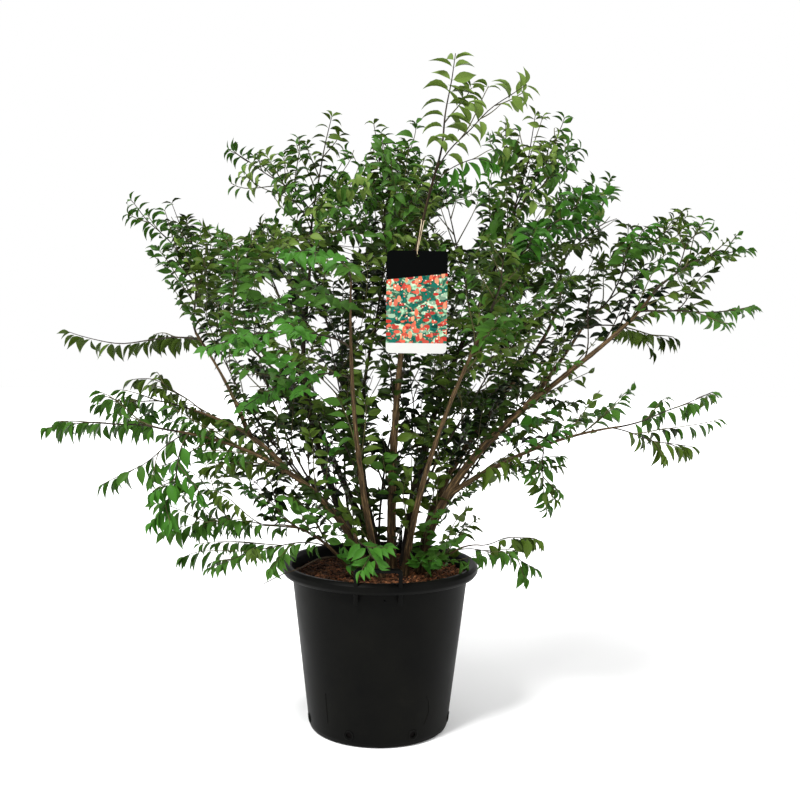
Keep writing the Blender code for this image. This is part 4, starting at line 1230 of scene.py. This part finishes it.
def spray_tone(target, buried, rng):
    """A spray's tone, with painted light and shade: dark deep in the crown as painted shade, green
    outside, darker in the shaded belt, lighter in the high middle as painted light; vivid as
    painted light near the lit spots and now and then in front; some pale high up."""
    spots = np.array([spot for spot, _ in LIT_SPOTS]) * CM
    reaches = np.array([reach for _, reach in LIT_SPOTS]) * CM
    near = np.clip(BRIGHT_EDGE - np.linalg.norm(spots - target, axis=1) / reaches, 0, 1).max()
    if rng.random() < near + VIVID_SHARE * (target[1] < VIVID_FRONT):
        return VIVID_TONE
    if target[2] > PALE_FROM and rng.random() < PALE_SHARE:
        return PALE_TONE
    light = LIGHT_USUAL + LIGHT_RISE * (target[2] - LIGHT_HEIGHT)
    light = light - LIGHT_BURIED * (buried - BURIED_USUAL) + rng.normal(0, LIGHT_SCATTER)
    shade = math.exp(-((target[2] - SHADE_HEIGHT) / SHADE_REACH) ** 2)
    light -= SHADE_DEPTH * shade * (1 + SHADE_RIGHT * smoothstep(*SHADE_RIGHT_BAND, target[0]))
    light += TOP_LIGHT * smoothstep(*TOP_BAND, target[2]) * math.exp(-(target[0] / TOP_WIDTH) ** 2)
    return int(np.clip(round(light), 0, BRIGHTEST_USUAL))


def fill_twigs(wood, rng):
    """Twigs grown to the targets, the outermost first, from the best fork.

    A target that already has leaves near it is passed over, and so is one whose twig would cross
    a sky gap.
    """
    targets, habits, thin = twig_targets(rng)
    order = np.argsort(-np.linalg.norm((targets - CROWN_FOOT) * OUTERMOST_WEIGHTS, axis=1))
    twigs = []
    for index, buried in zip(order, [bury_share(targets, target) for target in targets[order]]):
        target, habit = targets[index], habits[index]
        depth = smoothstep(*DEPTH_BAND, buried)
        low = 1 - smoothstep(*LOW_BAND, target[2])
        clear = CLEAR_THIN if thin[index] else CLEAR_OUTER + (CLEAR_INNER - CLEAR_OUTER) * depth
        if wood.gap_to_leaves(target) < clear * (1 + CLEAR_LOW * low * depth):
            continue
        best = wood.fork_for(target, FORK_SINK[habit])
        fork, lead = wood.at[best], wood.lead[best]
        toward = unit(target - fork)
        outward = unit((target - CROWN_MIDDLE) * TWIG_OUTWARD)
        rise, out = END_LEAN[habit]
        end_lead = unit(toward * END_TOWARD + outward * out + UP * rise
                        + END_SCATTER * rng.normal(size=3))
        start_lead = unit(lead * START_AHEAD + toward * START_TOWARD)
        path = curve(fork, start_lead, target, end_lead, TWIG_RINGS)
        if in_gaps(path).mean() > GAP_CROSSING:
            continue
        length = run_along(path)[-1]
        thick = min((TWIG_RADIUS_MM + TWIG_STOUTER * length) * MM,
                    wood.radius[best] * TWIG_OF_PARENT)
        radii = np.linspace(max(thick, TIP_RADIUS), TIP_RADIUS, TWIG_RINGS)
        leafy = min(LEAFY_SHARE * length, LEAFY_MOST)
        wood.add(path, radii, leafy)
        turn = rng.uniform(0, math.pi)
        plane = np.array([math.cos(turn), math.sin(turn), 0.1]) if habit == "up" else UP
        tone = spray_tone(target, buried, rng)
        leaf = (FILL_LEAF_OUTER + (FILL_LEAF_INNER - FILL_LEAF_OUTER) * depth
                + FILL_LEAF_VIVID * (tone == VIVID_TONE))
        leaf *= (FILL_COMB if habit == "comb" else 1) * (1 + FILL_LEAF_LOW * low * depth)
        leaf *= rng.uniform(*FILL_LEAF_SCATTER)
        twigs.append(Twig(path, radii, habit, tone, leaf, leafy, plane))
    return twigs


def bury_share(targets, target):
    """How deep in the crown a point lies, from the count of targets within reach of it."""
    return (((targets - target) ** 2).sum(1) < BURIED_REACH ** 2).mean() * BURIED_SCALE


def leaf_field(twigs, rng):
    """Every leaf of every twig: pairs on opposite sides, closer and smaller towards the tip.

    A leaf points sideways, forwards along the twig and downwards by its habit, with some scatter;
    its face turns up and outwards, square to that, and rolls a little about it.
    """
    parts = []
    for twig in twigs:
        if twig.leafy <= 0:
            continue
        upright = twig.habit == "up"
        run = run_along(twig.path)
        steps = PAIR_SPACING * twig.leaf * np.array(TIP_STEPS + [1.0] * MORE_PAIRS)
        if twig.habit == "comb":
            steps *= COMB_PAIRS
        elif twig.leaf > BIG_LEAF:
            steps *= BIG_LEAF_PAIRS
        back = np.cumsum(steps * rng.uniform(*PAIR_SCATTER, len(steps)))
        at = run[-1] - back[back < twig.leafy]
        lead = unit(point_on(twig.path, run, at + LEAD_STEP)
                    - point_on(twig.path, run, at - LEAD_STEP) + 1e-9)
        level = unit(np.cross(lead, twig.plane))
        turn_deg = rng.normal(0, UPRIGHT_TURN_DEG if upright else TURN_DEG, len(at))
        turn = np.radians(turn_deg)[:, None]
        level = level * np.cos(turn) + np.cross(lead, level) * np.sin(turn)
        spread, forward, droop, curl = LEAF_HABITS[twig.habit]
        order = np.arange(len(at))
        leaves = {"base": point_on(twig.path, run, at), "lead": lead,
                  "size": np.minimum(1.0, TIP_LEAF + NEXT_LEAF * order) * twig.leaf,
                  "forward": forward + TIP_FORWARD * np.exp(-order / TIP_FORWARD_PAIRS)}
        for key, value in (("spread", spread), ("droop", droop), ("curl", curl),
                           ("tone", twig.tone), ("up", upright)):
            leaves[key] = np.full(len(at), value, float)
        for place in (-1, 1):
            kept = rng.random(len(at)) > LEAF_LOSS
            leaves["side"] = level * place
            parts.append({key: value[kept] for key, value in leaves.items()})
    field = {key: np.concatenate([part[key] for part in parts]) for key in parts[0]}
    count = len(field["size"])
    column = {key: field[key][:, None] for key in ("spread", "forward", "droop", "up")}
    along = unit(field["side"] * column["spread"] + field["lead"] * column["forward"]
                 - UP * column["droop"] + rng.normal(0, LEAF_SCATTER, (count, 3)))
    outward = unit((field["base"] - CROWN_MIDDLE) * LEAF_OUTWARD)
    ahead = FACE_AHEAD + FACE_AHEAD_UPRIGHT * column["up"]
    aloft = UP * FACE_UP + outward * FACE_OUT + field["lead"] * ahead
    face = unit(aloft - along * (aloft * along).sum(1)[:, None])
    roll = rng.normal(0, LEAF_ROLL, count)[:, None]
    face = face * np.cos(roll) + np.cross(along, face) * np.sin(roll)
    return {"base": field["base"], "along": along, "face": face, "tone": field["tone"],
            "length": LEAF_LENGTH * field["size"] * rng.uniform(*LENGTH_SCATTER, count),
            "breadth": rng.uniform(*BREADTH_SCATTER, count),
            "curl": np.radians(field["curl"]) * rng.uniform(*CURL_SCATTER, count),
            "fold": np.radians(rng.uniform(*LEAF_FOLD_DEG, count))}


def mass_slot(name):
    """The slot of a leafy mass."""
    if "front" in name:
        return "leaves_bright"
    return "leaves_dark" if "back" in name else "leaves_green"


def inside_box(field):
    """Which leaves keep within the frame's box and its allowance, and out of the pot."""
    tips = leaf_points(field, SMALL_LEAF_ROWS)
    low, high = np.array(CAD_BOX)
    spare = (high - low) * BOX_SPARE
    low, high = low - spare, high + spare
    low[2] = LOWEST_LEAF
    return ((tips > low) & (tips < high)).all((1, 2))


def build_crown():
    """Bark for the limbs, then shoots, side twigs, fill twigs and their leaves."""
    rng = np.random.default_rng(GROWTH_SEED)
    wood = Wood()
    lit_bark = bark_finish("bush_bark", *LIT_BARK)
    shaded_bark = bark_finish("shaded_bark", *SHADED_BARK)
    limb_paths = {}
    for number, limb in enumerate(LIMBS):
        # painted shade: limbs in the crown's shade take the darker bark copy
        finish = shaded_bark if limb.name in SHADED_LIMBS else lit_bark
        path, radii = build_limb_bark(limb, number, finish)
        limb_paths[limb.name] = path
        wood.add(path[::3], radii[::3])
    shoots = named_shoots(limb_paths, wood, rng)
    fill = fill_twigs(wood, rng)
    twig_brown = twig_finish("brown_twig", *TWIG_BROWN)
    twig_green = twig_finish("green_twig", *TWIG_GREEN)
    for name, group, sides, finish in (
            ("shoots", [twig for twig in shoots if len(twig.path) == SHOOT_RINGS], 10, twig_brown),
            ("side_twigs", [twig for twig in shoots if len(twig.path) == TWIG_RINGS], 6,
             twig_green),
            ("inner_twigs", [twig for twig in fill if twig.tone < 2], 5, twig_brown),
            ("outer_twigs", [twig for twig in fill if twig.tone >= 2], 5, twig_green)):
        piece = tubes(name, np.array([twig.path for twig in group]),
                      np.array([twig.radii for twig in group]), sides)
        finish_piece(piece, finish, "bark")
    field = leaf_field(shoots + fill, rng)
    middles = field["base"] + field["along"] * field["length"][:, None] / 2
    kept = inside_box(field) & ~in_gaps(middles)
    field = {key: value[kept] for key, value in field.items()}
    tones = np.clip(field["tone"], 0, len(LEAF_TONES) - 1)
    small = field["length"] < SMALL_LEAF_LENGTH
    for number, (name, colour, roughness, slot) in enumerate(LEAF_TONES):
        finish = leaf_finish(name + "_leaf", colour, roughness)
        nodes = [mass for mass in MASS_HABITS if mass_slot(mass) == slot]
        for kind, chosen, leaf_rows in (("small_", small, SMALL_LEAF_ROWS),
                                        ("", ~small, LEAF_ROWS)):
            part = {key: value[chosen & (tones == number)] for key, value in field.items()}
            if len(part["tone"]):
                build_leaves(kind + "leaves_" + name, part, leaf_rows, finish, slot, nodes)
    print("crown: %d shoots and side twigs, %d fill twigs, %d leaves; by tone %s"
          % (len(shoots), len(fill), len(tones), np.bincount(tones.astype(int)).tolist()))


def wall_radius(height):
    """The pot's outer wall radius at a height: a straight taper from the base to the lip."""
    return POT_BASE_RADIUS + height / LIP_FOOT * (POT_WALL_TOP_RADIUS - POT_BASE_RADIUS)


def joined(name, things):
    """Several objects as one, their meshes set side by side in it."""
    whole = bmesh.new()
    for thing in things:
        whole.from_mesh(thing.data)
        bpy.data.objects.remove(thing)
    mesh = bpy.data.meshes.new(name)
    whole.to_mesh(mesh)
    whole.free()
    result = bpy.data.objects.new(name, mesh)
    bpy.context.collection.objects.link(result)
    return result


def faced_out(thing):
    """The object with all its faces pointing outwards."""
    shape = bmesh.new()
    shape.from_mesh(thing.data)
    bmesh.ops.recalc_face_normals(shape, faces=shape.faces)
    shape.to_mesh(thing.data)
    shape.free()
    return thing


def wall_spot(turn, height, stand=0.0):
    """A point on the pot's wall: turn is the angle about Z from +X."""
    turn, height, radius = np.broadcast_arrays(turn, height, wall_radius(height) + stand)
    return np.stack([radius * np.cos(turn), radius * np.sin(turn), height], -1)


def drain_ring(turn):
    """A raised ring round a drain hole: a circle of radius R about the hole, carried by a circle of
    radius r, half of it sunk in the wall."""
    a, b = np.meshgrid(turns_of(28), turns_of(8), indexing="ij")
    reach = DRAIN_RING + DRAIN_RING_ROUND * np.cos(b)
    around = turn + reach * np.cos(a) / wall_radius(DRAIN_HEIGHT)
    points = wall_spot(around, DRAIN_HEIGHT + reach * np.sin(a), DRAIN_RING_ROUND * np.sin(b))
    quads = grid_quads(*a.shape, closed_rows=True)
    return faced_out(make_mesh("drain_ring", points.reshape(-1, 3), quads))


def grip(turn):
    """One grip handle: a rounded square carried up one post, over the bar and down the other.

    The path lies in a plane that leans out from the wall: p runs along the wall and q up the lean,
    so the point is (p, -(wall + q sin lean), foot + q cos lean), turned about Z. The section is
    |x|^(2/n) + |y|^(2/n) = const with n the power.
    """
    half = (HANDLE_WIDTH - HANDLE_BAR) / 2
    top = (HANDLE_TOP_Z - HANDLE_FOOT_Z) / math.cos(HANDLE_LEAN) - HANDLE_BAR / 2
    bend = np.radians(np.linspace(0, 90, 7))
    rise = np.stack([np.full(6, -half), np.linspace(0, top - HANDLE_CORNER, 7)[:-1]], -1)
    left = np.stack([-half + HANDLE_CORNER * (1 - np.cos(bend)),
                     top - HANDLE_CORNER * (1 - np.sin(bend))], -1)
    bar = np.linspace(-half + HANDLE_CORNER, half - HANDLE_CORNER, 11)[1:-1]
    over = np.stack([bar, np.full(len(bar), top)], -1)
    flat = np.vstack([rise, left, over, left[::-1] * (-1, 1), rise[::-1] * (-1, 1)])
    run = unit(np.gradient(flat, axis=0))
    normal = np.stack([-run[:, 1], run[:, 0]], -1)
    round_way = on_circle(turns_of(16))
    side, deep = (HANDLE_BAR / 2 * np.sign(round_way) * np.abs(round_way) ** HANDLE_POWER).T
    plane = flat[:, None] + normal[:, None] * side[:, None]
    x, q = plane[..., 0], plane[..., 1]
    y = -(POT_WALL_TOP_RADIUS + q * math.sin(HANDLE_LEAN) + deep * math.cos(HANDLE_LEAN))
    z = HANDLE_FOOT_Z + q * math.cos(HANDLE_LEAN) - deep * math.sin(HANDLE_LEAN)
    rows = np.stack([x * math.cos(turn) - y * math.sin(turn),
                     x * math.sin(turn) + y * math.cos(turn), z], -1)
    return faced_out(closed_rings("grip", rows, rows[0].mean(0), rows[-1].mean(0)))


def build_pot():
    """The pot: a turned shell with a rolled lip, drain holes in raised rings and two grips."""
    inner_top = POT_WALL_TOP_RADIUS - POT_WALL
    turn_up = 11 * MM
    corners = [
        (0, 0, 0), (POT_BASE_RADIUS - 8 * MM, 0, 5 * MM),
        (POT_BASE_RADIUS - 1.5 * MM, 3 * MM, 5 * MM), (wall_radius(turn_up), turn_up, 12 * MM),
        (POT_WALL_TOP_RADIUS, LIP_FOOT, 2 * MM), (LIP_RADIUS - 5 * MM, LIP_FOOT + 1 * MM, 4 * MM),
        (LIP_RADIUS, LIP_FOOT + 8 * MM, 6 * MM),
        (LIP_RADIUS - 0.5 * MM, POT_HEIGHT - 6 * MM, 5 * MM),
        (LIP_RADIUS - 6 * MM, POT_HEIGHT, 4 * MM),
        (LIP_RADIUS - 14 * MM, POT_HEIGHT - 0.5 * MM, 4 * MM),
        (inner_top + 4 * MM, POT_HEIGHT - 6 * MM, 4 * MM), (inner_top, LIP_FOOT, 3 * MM),
        (wall_radius(turn_up) - POT_WALL, turn_up, 4 * MM),
        (POT_BASE_RADIUS - 9 * MM, POT_FLOOR, 3 * MM), (0, POT_FLOOR, 0),
    ]
    profile = rounded_profile([(r, z) for r, z, _ in corners], [c[2] for c in corners[1:-1]])
    pot = lathe("pot_wall", profile, POT_SIDES)
    holes = np.radians(DRAIN_FIRST_DEG + 360 / DRAIN_HOLES * np.arange(DRAIN_HOLES))
    for turn in holes:
        outward = np.array([math.cos(turn), math.sin(turn), 0])
        rod = wall_spot(turn, DRAIN_HEIGHT) + np.outer(np.linspace(-12, 12, 3) * MM, outward)
        cutter = tubes("drain_cutter", rod[None], np.full((1, 3), DRAIN_RADIUS), 24)
        cut = pot.modifiers.new("drain", "BOOLEAN")
        cut.operation, cut.solver, cut.object = "DIFFERENCE", "EXACT", cutter
        pot = baked(pot)
        bpy.data.objects.remove(cutter)
    t = np.linspace(0, 1, 15)
    seams = [wall_spot(math.radians(turn) + bow * np.sin(t * math.pi), MOULD_FOOT + MOULD_RISE * t)
             for turn, bow in MOULD_LINES]
    lines = tubes("mould_lines", np.array(seams), np.full((len(seams), len(t)), MOULD_RADIUS), 8)
    stand, thick = np.array(NUB).T * MM
    nub = tubes("nub", wall_spot(math.radians(NUB_DEG), NUB_HEIGHT, stand)[None], thick[None], 12)
    pot = joined("moulded_pot", [pot, lines, nub, grip(0.0), grip(math.pi)]
                 + [drain_ring(turn) for turn in holes])
    pot.data.set_sharp_from_angle(angle=POT_SHARP)
    finish_piece(pot, plastic_finish(), "black_plastic", "pot")


def soil_height(spots):
    """The soil's level under points (x, y): ripples of three sizes, and a rise round the stems."""
    near = np.exp(-(np.linalg.norm(spots - CROWN_FOOT[:2], axis=-1) / MOUND_REACH) ** 2)
    waves = sum(share * ripple(spots, wavelength, seed) for share, wavelength, seed in SOIL_RIPPLES)
    return SOIL_LEVEL + SOIL_UNEVEN * (waves + 0.5 * near)


def build_soil():
    """The root ball, whose wall and underside follow the pot, and the chips and fibres on it."""
    inset = POT_WALL + 0.5 * MM
    around = on_circle(turns_of(SOIL_SIDES))
    wall = [(POT_BASE_RADIUS - 11 * MM, POT_FLOOR + 0.4 * MM)]
    wall += [(wall_radius(height) - inset, height) for height in SOIL_WALL_HEIGHTS]
    rows = [np.hstack([around * r, np.full((SOIL_SIDES, 1), z)]) for r, z in wall]
    for share in np.linspace(1, 0.02, 44):
        flat = around * (wall_radius(SOIL_LEVEL) - inset) * share
        rows.append(np.hstack([flat, soil_height(flat)[:, None]]))
    ball = closed_rings("root_ball", np.array(rows), (0, 0, wall[0][1]),
                        (0, 0, soil_height(np.zeros((1, 2)))[0]))
    finish_piece(ball, mulch_finish("root_ball_soil", *SOIL_BROWN), "bark_mulch", "soil")
    rng = np.random.default_rng(SOIL_SEED)
    build_chips(rng)
    build_fibres(rng)


def strewn_radius(rng, count, reach):
    """Distances from the middle of points strewn evenly over a disc."""
    return np.sqrt(rng.random(count)) * reach


def build_chips(rng):
    """Bark chips: uneven boxes that lie on the soil, slightly tilted; warmer and lighter ones front
    right, both orange chips and painted light, and darker ones back left, partly painted shade.
    """
    radius = strewn_radius(rng, CHIP_COUNT, CHIP_REACH)
    flat = on_circle(rng.uniform(0, 2 * math.pi, CHIP_COUNT), radius)
    half = rng.uniform(*CHIP_HALVES, (CHIP_COUNT, 3)) * MM
    corner = np.array([(x, y, z) for z in (-1, 1) for y in (-1, 1) for x in (-1, 1)], float)
    box = corner * half[:, None] * rng.uniform(*CHIP_CORNER, (CHIP_COUNT, 8, 3))
    yaw = rng.uniform(0, 2 * math.pi, CHIP_COUNT)
    pitch, roll = rng.normal(0, CHIP_TILT, (2, CHIP_COUNT))
    level = np.stack([np.cos(yaw) * np.cos(pitch), np.sin(yaw) * np.cos(pitch), np.sin(pitch)], -1)
    over = unit(np.cross(UP, level)) + UP * roll[:, None]
    over = unit(over - level * (over * level).sum(1)[:, None])
    axes = np.stack([level, over, np.cross(level, over)], 1)
    height = soil_height(flat) + rng.uniform(*CHIP_LIFT_MM, CHIP_COUNT) * MM
    chips = np.hstack([flat, height[:, None]])[:, None] + np.einsum("nki,nij->nkj", box, axes)
    faces = np.array([(0, 2, 3, 1), (4, 5, 7, 6), (0, 1, 5, 4), (2, 6, 7, 3), (0, 4, 6, 2),
                      (1, 3, 7, 5)])
    # warmer and lighter to the front right, orange chips and painted light; darker to the back
    # left, partly painted shade
    warm_and_lit = (rng.random(CHIP_COUNT) + CHIP_WARM_LIT_RIGHT * flat[:, 0]
            - CHIP_WARM_LIT_FRONT * flat[:, 1])
    for number, (name, dark, light) in enumerate(CHIP_TONES):
        chosen = chips[np.digitize(warm_and_lit, CHIP_SPLITS) == number]
        starts = (np.arange(len(chosen)) * 8)[:, None, None]
        piece = make_mesh("chips_" + name, chosen.reshape(-1, 3), faces + starts, smooth=False)
        finish_piece(piece, mulch_finish(name + "_chip", dark, light), "bark_mulch")


def build_fibres(rng):
    """Thin fibres: bent lines that rise a little between their ends."""
    radius = strewn_radius(rng, FIBRE_COUNT, FIBRE_REACH)
    turn, heading = rng.uniform(0, 2 * math.pi, (2, FIBRE_COUNT))
    foot = on_circle(turn, radius)
    t = np.linspace(0, 1, FIBRE_POINTS)
    run = t[None, :, None] * rng.uniform(*FIBRE_LENGTH_MM, (FIBRE_COUNT, 1, 1)) * MM
    bend = heading[:, None] + t * rng.normal(0, FIBRE_BEND, (FIBRE_COUNT, 1))
    flat = foot[:, None] + run * on_circle(bend)
    flat *= np.minimum(1, FIBRE_LIMIT / np.linalg.norm(flat, axis=-1, keepdims=True))
    arch = np.sin(np.linspace(0, math.pi, FIBRE_POINTS))
    lift = FIBRE_LIFT + rng.uniform(0, FIBRE_ARCH_MM, (FIBRE_COUNT, 1)) * MM * arch
    paths = np.concatenate([flat, (soil_height(flat) + lift)[..., None]], -1)
    radii = rng.uniform(*FIBRE_RADIUS_MM, (FIBRE_COUNT, 1)) * MM
    radii = np.repeat(radii, FIBRE_POINTS, 1)
    fibres = tubes("soil_fibres", paths, radii, 4)
    finish_piece(fibres, mulch_finish("fibre", *FIBRE_BROWN), "bark_mulch")


def print_finish():
    """The label's print: a black header, a picture of round leaves and berries, a bare footer."""
    finish, tree, shader = shader_of("label_print", roughness=0.32, specular=0.015)
    side, rise, _ = axes_of(tree, uv_coordinates(tree))
    real = uv_coordinates(tree, (LABEL_WIDTH, LABEL_HEIGHT, 1.0))
    cloud = noise(tree, real, scale=62.0, detail=2.0, roughness=0.5, distortion=0.8)
    picture = ramp(tree, cloud, PRINT_CLOUD)
    for turn, cells_a_metre, reach, colours in PRINT_LAYERS:
        where = add_node(tree, "ShaderNodeMapping", {"Vector": real}, Scale=(*cells_a_metre, 1.0),
                         Rotation=(0, 0, turn)).outputs[0]
        cells = add_node(tree, "ShaderNodeTexVoronoi", {"Vector": where}, Scale=1.0).outputs
        chance = add_node(tree, "ShaderNodeSeparateColor", {"Color": cells["Color"]}).outputs
        tint = ramp(tree, chance[0], list(zip(np.linspace(0.15, 0.85, len(colours)), colours)))
        shape = span(tree, cells["Distance"], (reach, reach + PRINT_EDGE), (1.0, 0.0))
        some = calculated(tree, "GREATER_THAN", chance[1], PRINT_BARE_CELLS)
        picture = mixed(tree, calculated(tree, "MULTIPLY", shape, some), picture, tint)
    slope = calculated(tree, "MULTIPLY_ADD", side, -LABEL_HEADER_RISE, rise)
    for value, edges, ends, colour in (
            (rise, (LABEL_FOOTER, LABEL_FOOTER + LABEL_EDGE), (1.0, 0.0), FOOTER_PALE),
            (slope, (LABEL_HEADER, LABEL_HEADER + LABEL_EDGE), (0.0, 1.0), HEADER_BLACK),
            (side, (1.1, 1.2), (0.0, 1.0), BACK_PALE)):
        picture = mixed(tree, span(tree, value, edges, ends), picture, colour)
    tree.links.new(picture, shader.inputs["Base Color"])
    gloss = noise(tree, real, scale=400.0, detail=2.0)
    tree.links.new(span(tree, gloss, (0.3, 0.7), (0.26, 0.38)), shader.inputs["Roughness"])
    return finish


def label_outline():
    """The card's outline: four rounded corners, with the long straight sides cut into steps."""
    bend = np.radians(np.linspace(0, 90, 7))
    corners = []
    for quarter, signs in enumerate(((1, 1), (-1, 1), (-1, -1), (1, -1))):
        middle = np.array(signs) * (LABEL_HALF - LABEL_CORNER)
        turn = math.pi / 2 * quarter
        spin = np.array([(math.cos(turn), math.sin(turn)), (-math.sin(turn), math.cos(turn))])
        corners.append(on_circle(bend) * LABEL_CORNER @ spin + middle)
    outline = np.vstack(corners)
    points = []
    for a, b in zip(outline, np.roll(outline, -1, axis=0)):
        long = np.linalg.norm(b - a) > LABEL_LONG_EDGE
        steps = np.linspace(0, 1, LABEL_EDGE_STEPS + 1)[:-1] if long else (0,)
        points += [a + (b - a) * t for t in steps]
    return np.array(points)


def build_label():
    """The label card: rays from its hole to its outline, front and back, as one closed grid.

    The card waves by sin (pi (x / width + 1/2)) (z / half height)^2. The back's UVs lie 2 to the
    right of the front's, where the print is plain.
    """
    outline = label_outline()
    hole = np.array([0, LABEL_HALF[1] - LABEL_HOLE_DROP])
    rays = unit(outline - hole) * LABEL_HOLE_RADIUS
    shares = np.linspace(0, 1, LABEL_RINGS)[:, None, None] ** LABEL_RING_SPREAD
    front = hole + rays + (outline - hole - rays) * shares
    flat = np.concatenate([front, front[::-1]])
    depth = np.repeat([-LABEL_THICK / 2, LABEL_THICK / 2], LABEL_RINGS)[:, None] + 0 * flat[..., 0]
    x, z = flat[..., 0], flat[..., 1]
    wave = LABEL_WAVE * np.sin(math.pi * (x / LABEL_WIDTH + 0.5)) * (z / LABEL_HALF[1]) ** 2
    points = np.stack([x, depth + wave, z], -1) + LABEL_CENTRE
    quads = grid_quads(*flat.shape[:2], closed_rows=True)
    uv = flat.reshape(-1, 2) / (LABEL_WIDTH, LABEL_HEIGHT) + 0.5
    uv[len(uv) // 2:, 0] += 2
    card = make_mesh("picture_label", points.reshape(-1, 3), quads, corner_uv=uv[quads.ravel()],
                     smooth=False)
    finish_piece(faced_out(card), print_finish(), "label_card", "label_card")


def build_tie():
    """The label's tie: up from the hole, once round the leader, and down again behind the card."""
    leader = LIMBS[0]
    spots = limb_path(leader, [TIE_STEM_SHARE, TIE_STEM_SHARE - 0.01])
    ring = bark_radii(leader, spots[:1], [TIE_STEM_SHARE])[0] * TIE_SLACK + TIE_RADIUS
    hole = LABEL_CENTRE + (0, 0, LABEL_HEIGHT / 2 - LABEL_HOLE_DROP)
    lead = unit(spots[0] - spots[1])
    side = unit(np.cross(lead, (0, 1, 0)))
    away = np.cross(lead, side)
    away *= np.sign(away[1])
    turns = np.radians(np.linspace(*TIE_ARC_DEG, 25))[:, None]
    arc = spots[0] + ring * TIE_SLACK * (away * np.sin(turns) - side * np.cos(turns))
    arc = arc[::-1] if arc[0][0] > arc[-1][0] else arc
    stand_off, spread = np.array([0, TIE_CLEAR, 0]), np.array([TIE_CLEAR / 2, 0, 0])
    over_edge = np.array([0, 0, LABEL_HOLE_DROP + TIE_CLEAR])
    hung = hole + (0, 0, LABEL_HOLE_RADIUS - TIE_RADIUS - 0.4 * MM)
    front = [hung, hung - stand_off, hole - stand_off - spread + over_edge]
    behind = [hole + stand_off + spread + over_edge, hung + stand_off, hung]
    path = np.vstack([front, arc, behind])
    run = run_along(path)
    path = point_on(path, run, np.linspace(0, run[-1], TIE_RINGS))
    tie = tubes("tie_string", path[None], np.full((1, TIE_RINGS), TIE_RADIUS), 8)
    finish_piece(tie, twig_finish("tie_fibre", *TIE_FIBRE), "label_tie", "label_tie")


def soft_sun(name, shines_from, strength, width):
    """A wide soft sun that shines from a direction."""
    light = bpy.data.lights.new(name, "SUN")
    light.energy, light.angle = strength, math.radians(width)
    thing = bpy.data.objects.new(name, light)
    thing.rotation_euler = Vector(shines_from).to_track_quat("Z", "Y").to_euler()
    bpy.context.collection.objects.link(thing)


def add_camera(scene):
    """The camera at the photograph's place, pitched down and rolled a little."""
    camera = bpy.data.cameras.new("photo_camera")
    camera.lens, camera.sensor_width = CAMERA_LENS_MM, CAMERA_SENSOR_MM
    eye = bpy.data.objects.new("photo_camera", camera)
    pitch, roll = math.radians(CAMERA_PITCH_DEG), math.radians(CAMERA_ROLL_DEG)
    level = np.array([1.0, 0.0, 0.0])
    rise = np.array([0.0, math.sin(pitch), math.cos(pitch)])
    ahead = np.array([0.0, math.cos(pitch), -math.sin(pitch)])
    right = math.cos(roll) * level + math.sin(roll) * rise
    up = math.cos(roll) * rise - math.sin(roll) * level
    turned = np.eye(4)
    turned[:3, :3] = np.stack([right, up, -ahead], -1)
    turned[:3, 3] = CAMERA_PLACE
    eye.matrix_world = Matrix(turned.tolist())
    bpy.context.collection.objects.link(eye)
    scene.camera = eye


def build_stage():
    """A pale floor, soft lights, a pale sky and the camera."""
    square = np.array([(-1, -1, 0), (1, -1, 0), (1, 1, 0), (-1, 1, 0)]) * FLOOR_HALF
    floor = make_mesh("pale_floor", square, [(0, 1, 2, 3)])
    finish, tree, shader = shader_of("pale_floor_paint", roughness=0.9, specular=0.1)
    cloud = noise(tree, object_coordinates(tree), scale=1.5, detail=2.0)
    tree.links.new(ramp(tree, cloud, FLOOR_PALE), shader.inputs["Base Color"])
    floor.data.materials.append(finish)
    for sun in SUNS:
        soft_sun(*sun)
    world = bpy.data.worlds.new("pale_sky")
    world.use_nodes = True
    sky = world.node_tree.nodes["Background"]
    sky.inputs["Color"].default_value = (1.0, 1.0, 1.0, 1.0)
    sky.inputs["Strength"].default_value = SKY_STRENGTH
    scene = bpy.context.scene
    scene.world = world
    scene.view_settings.view_transform = "Standard"
    add_camera(scene)


build_pot()
build_soil()
build_crown()
build_label()
build_tie()
build_stage()
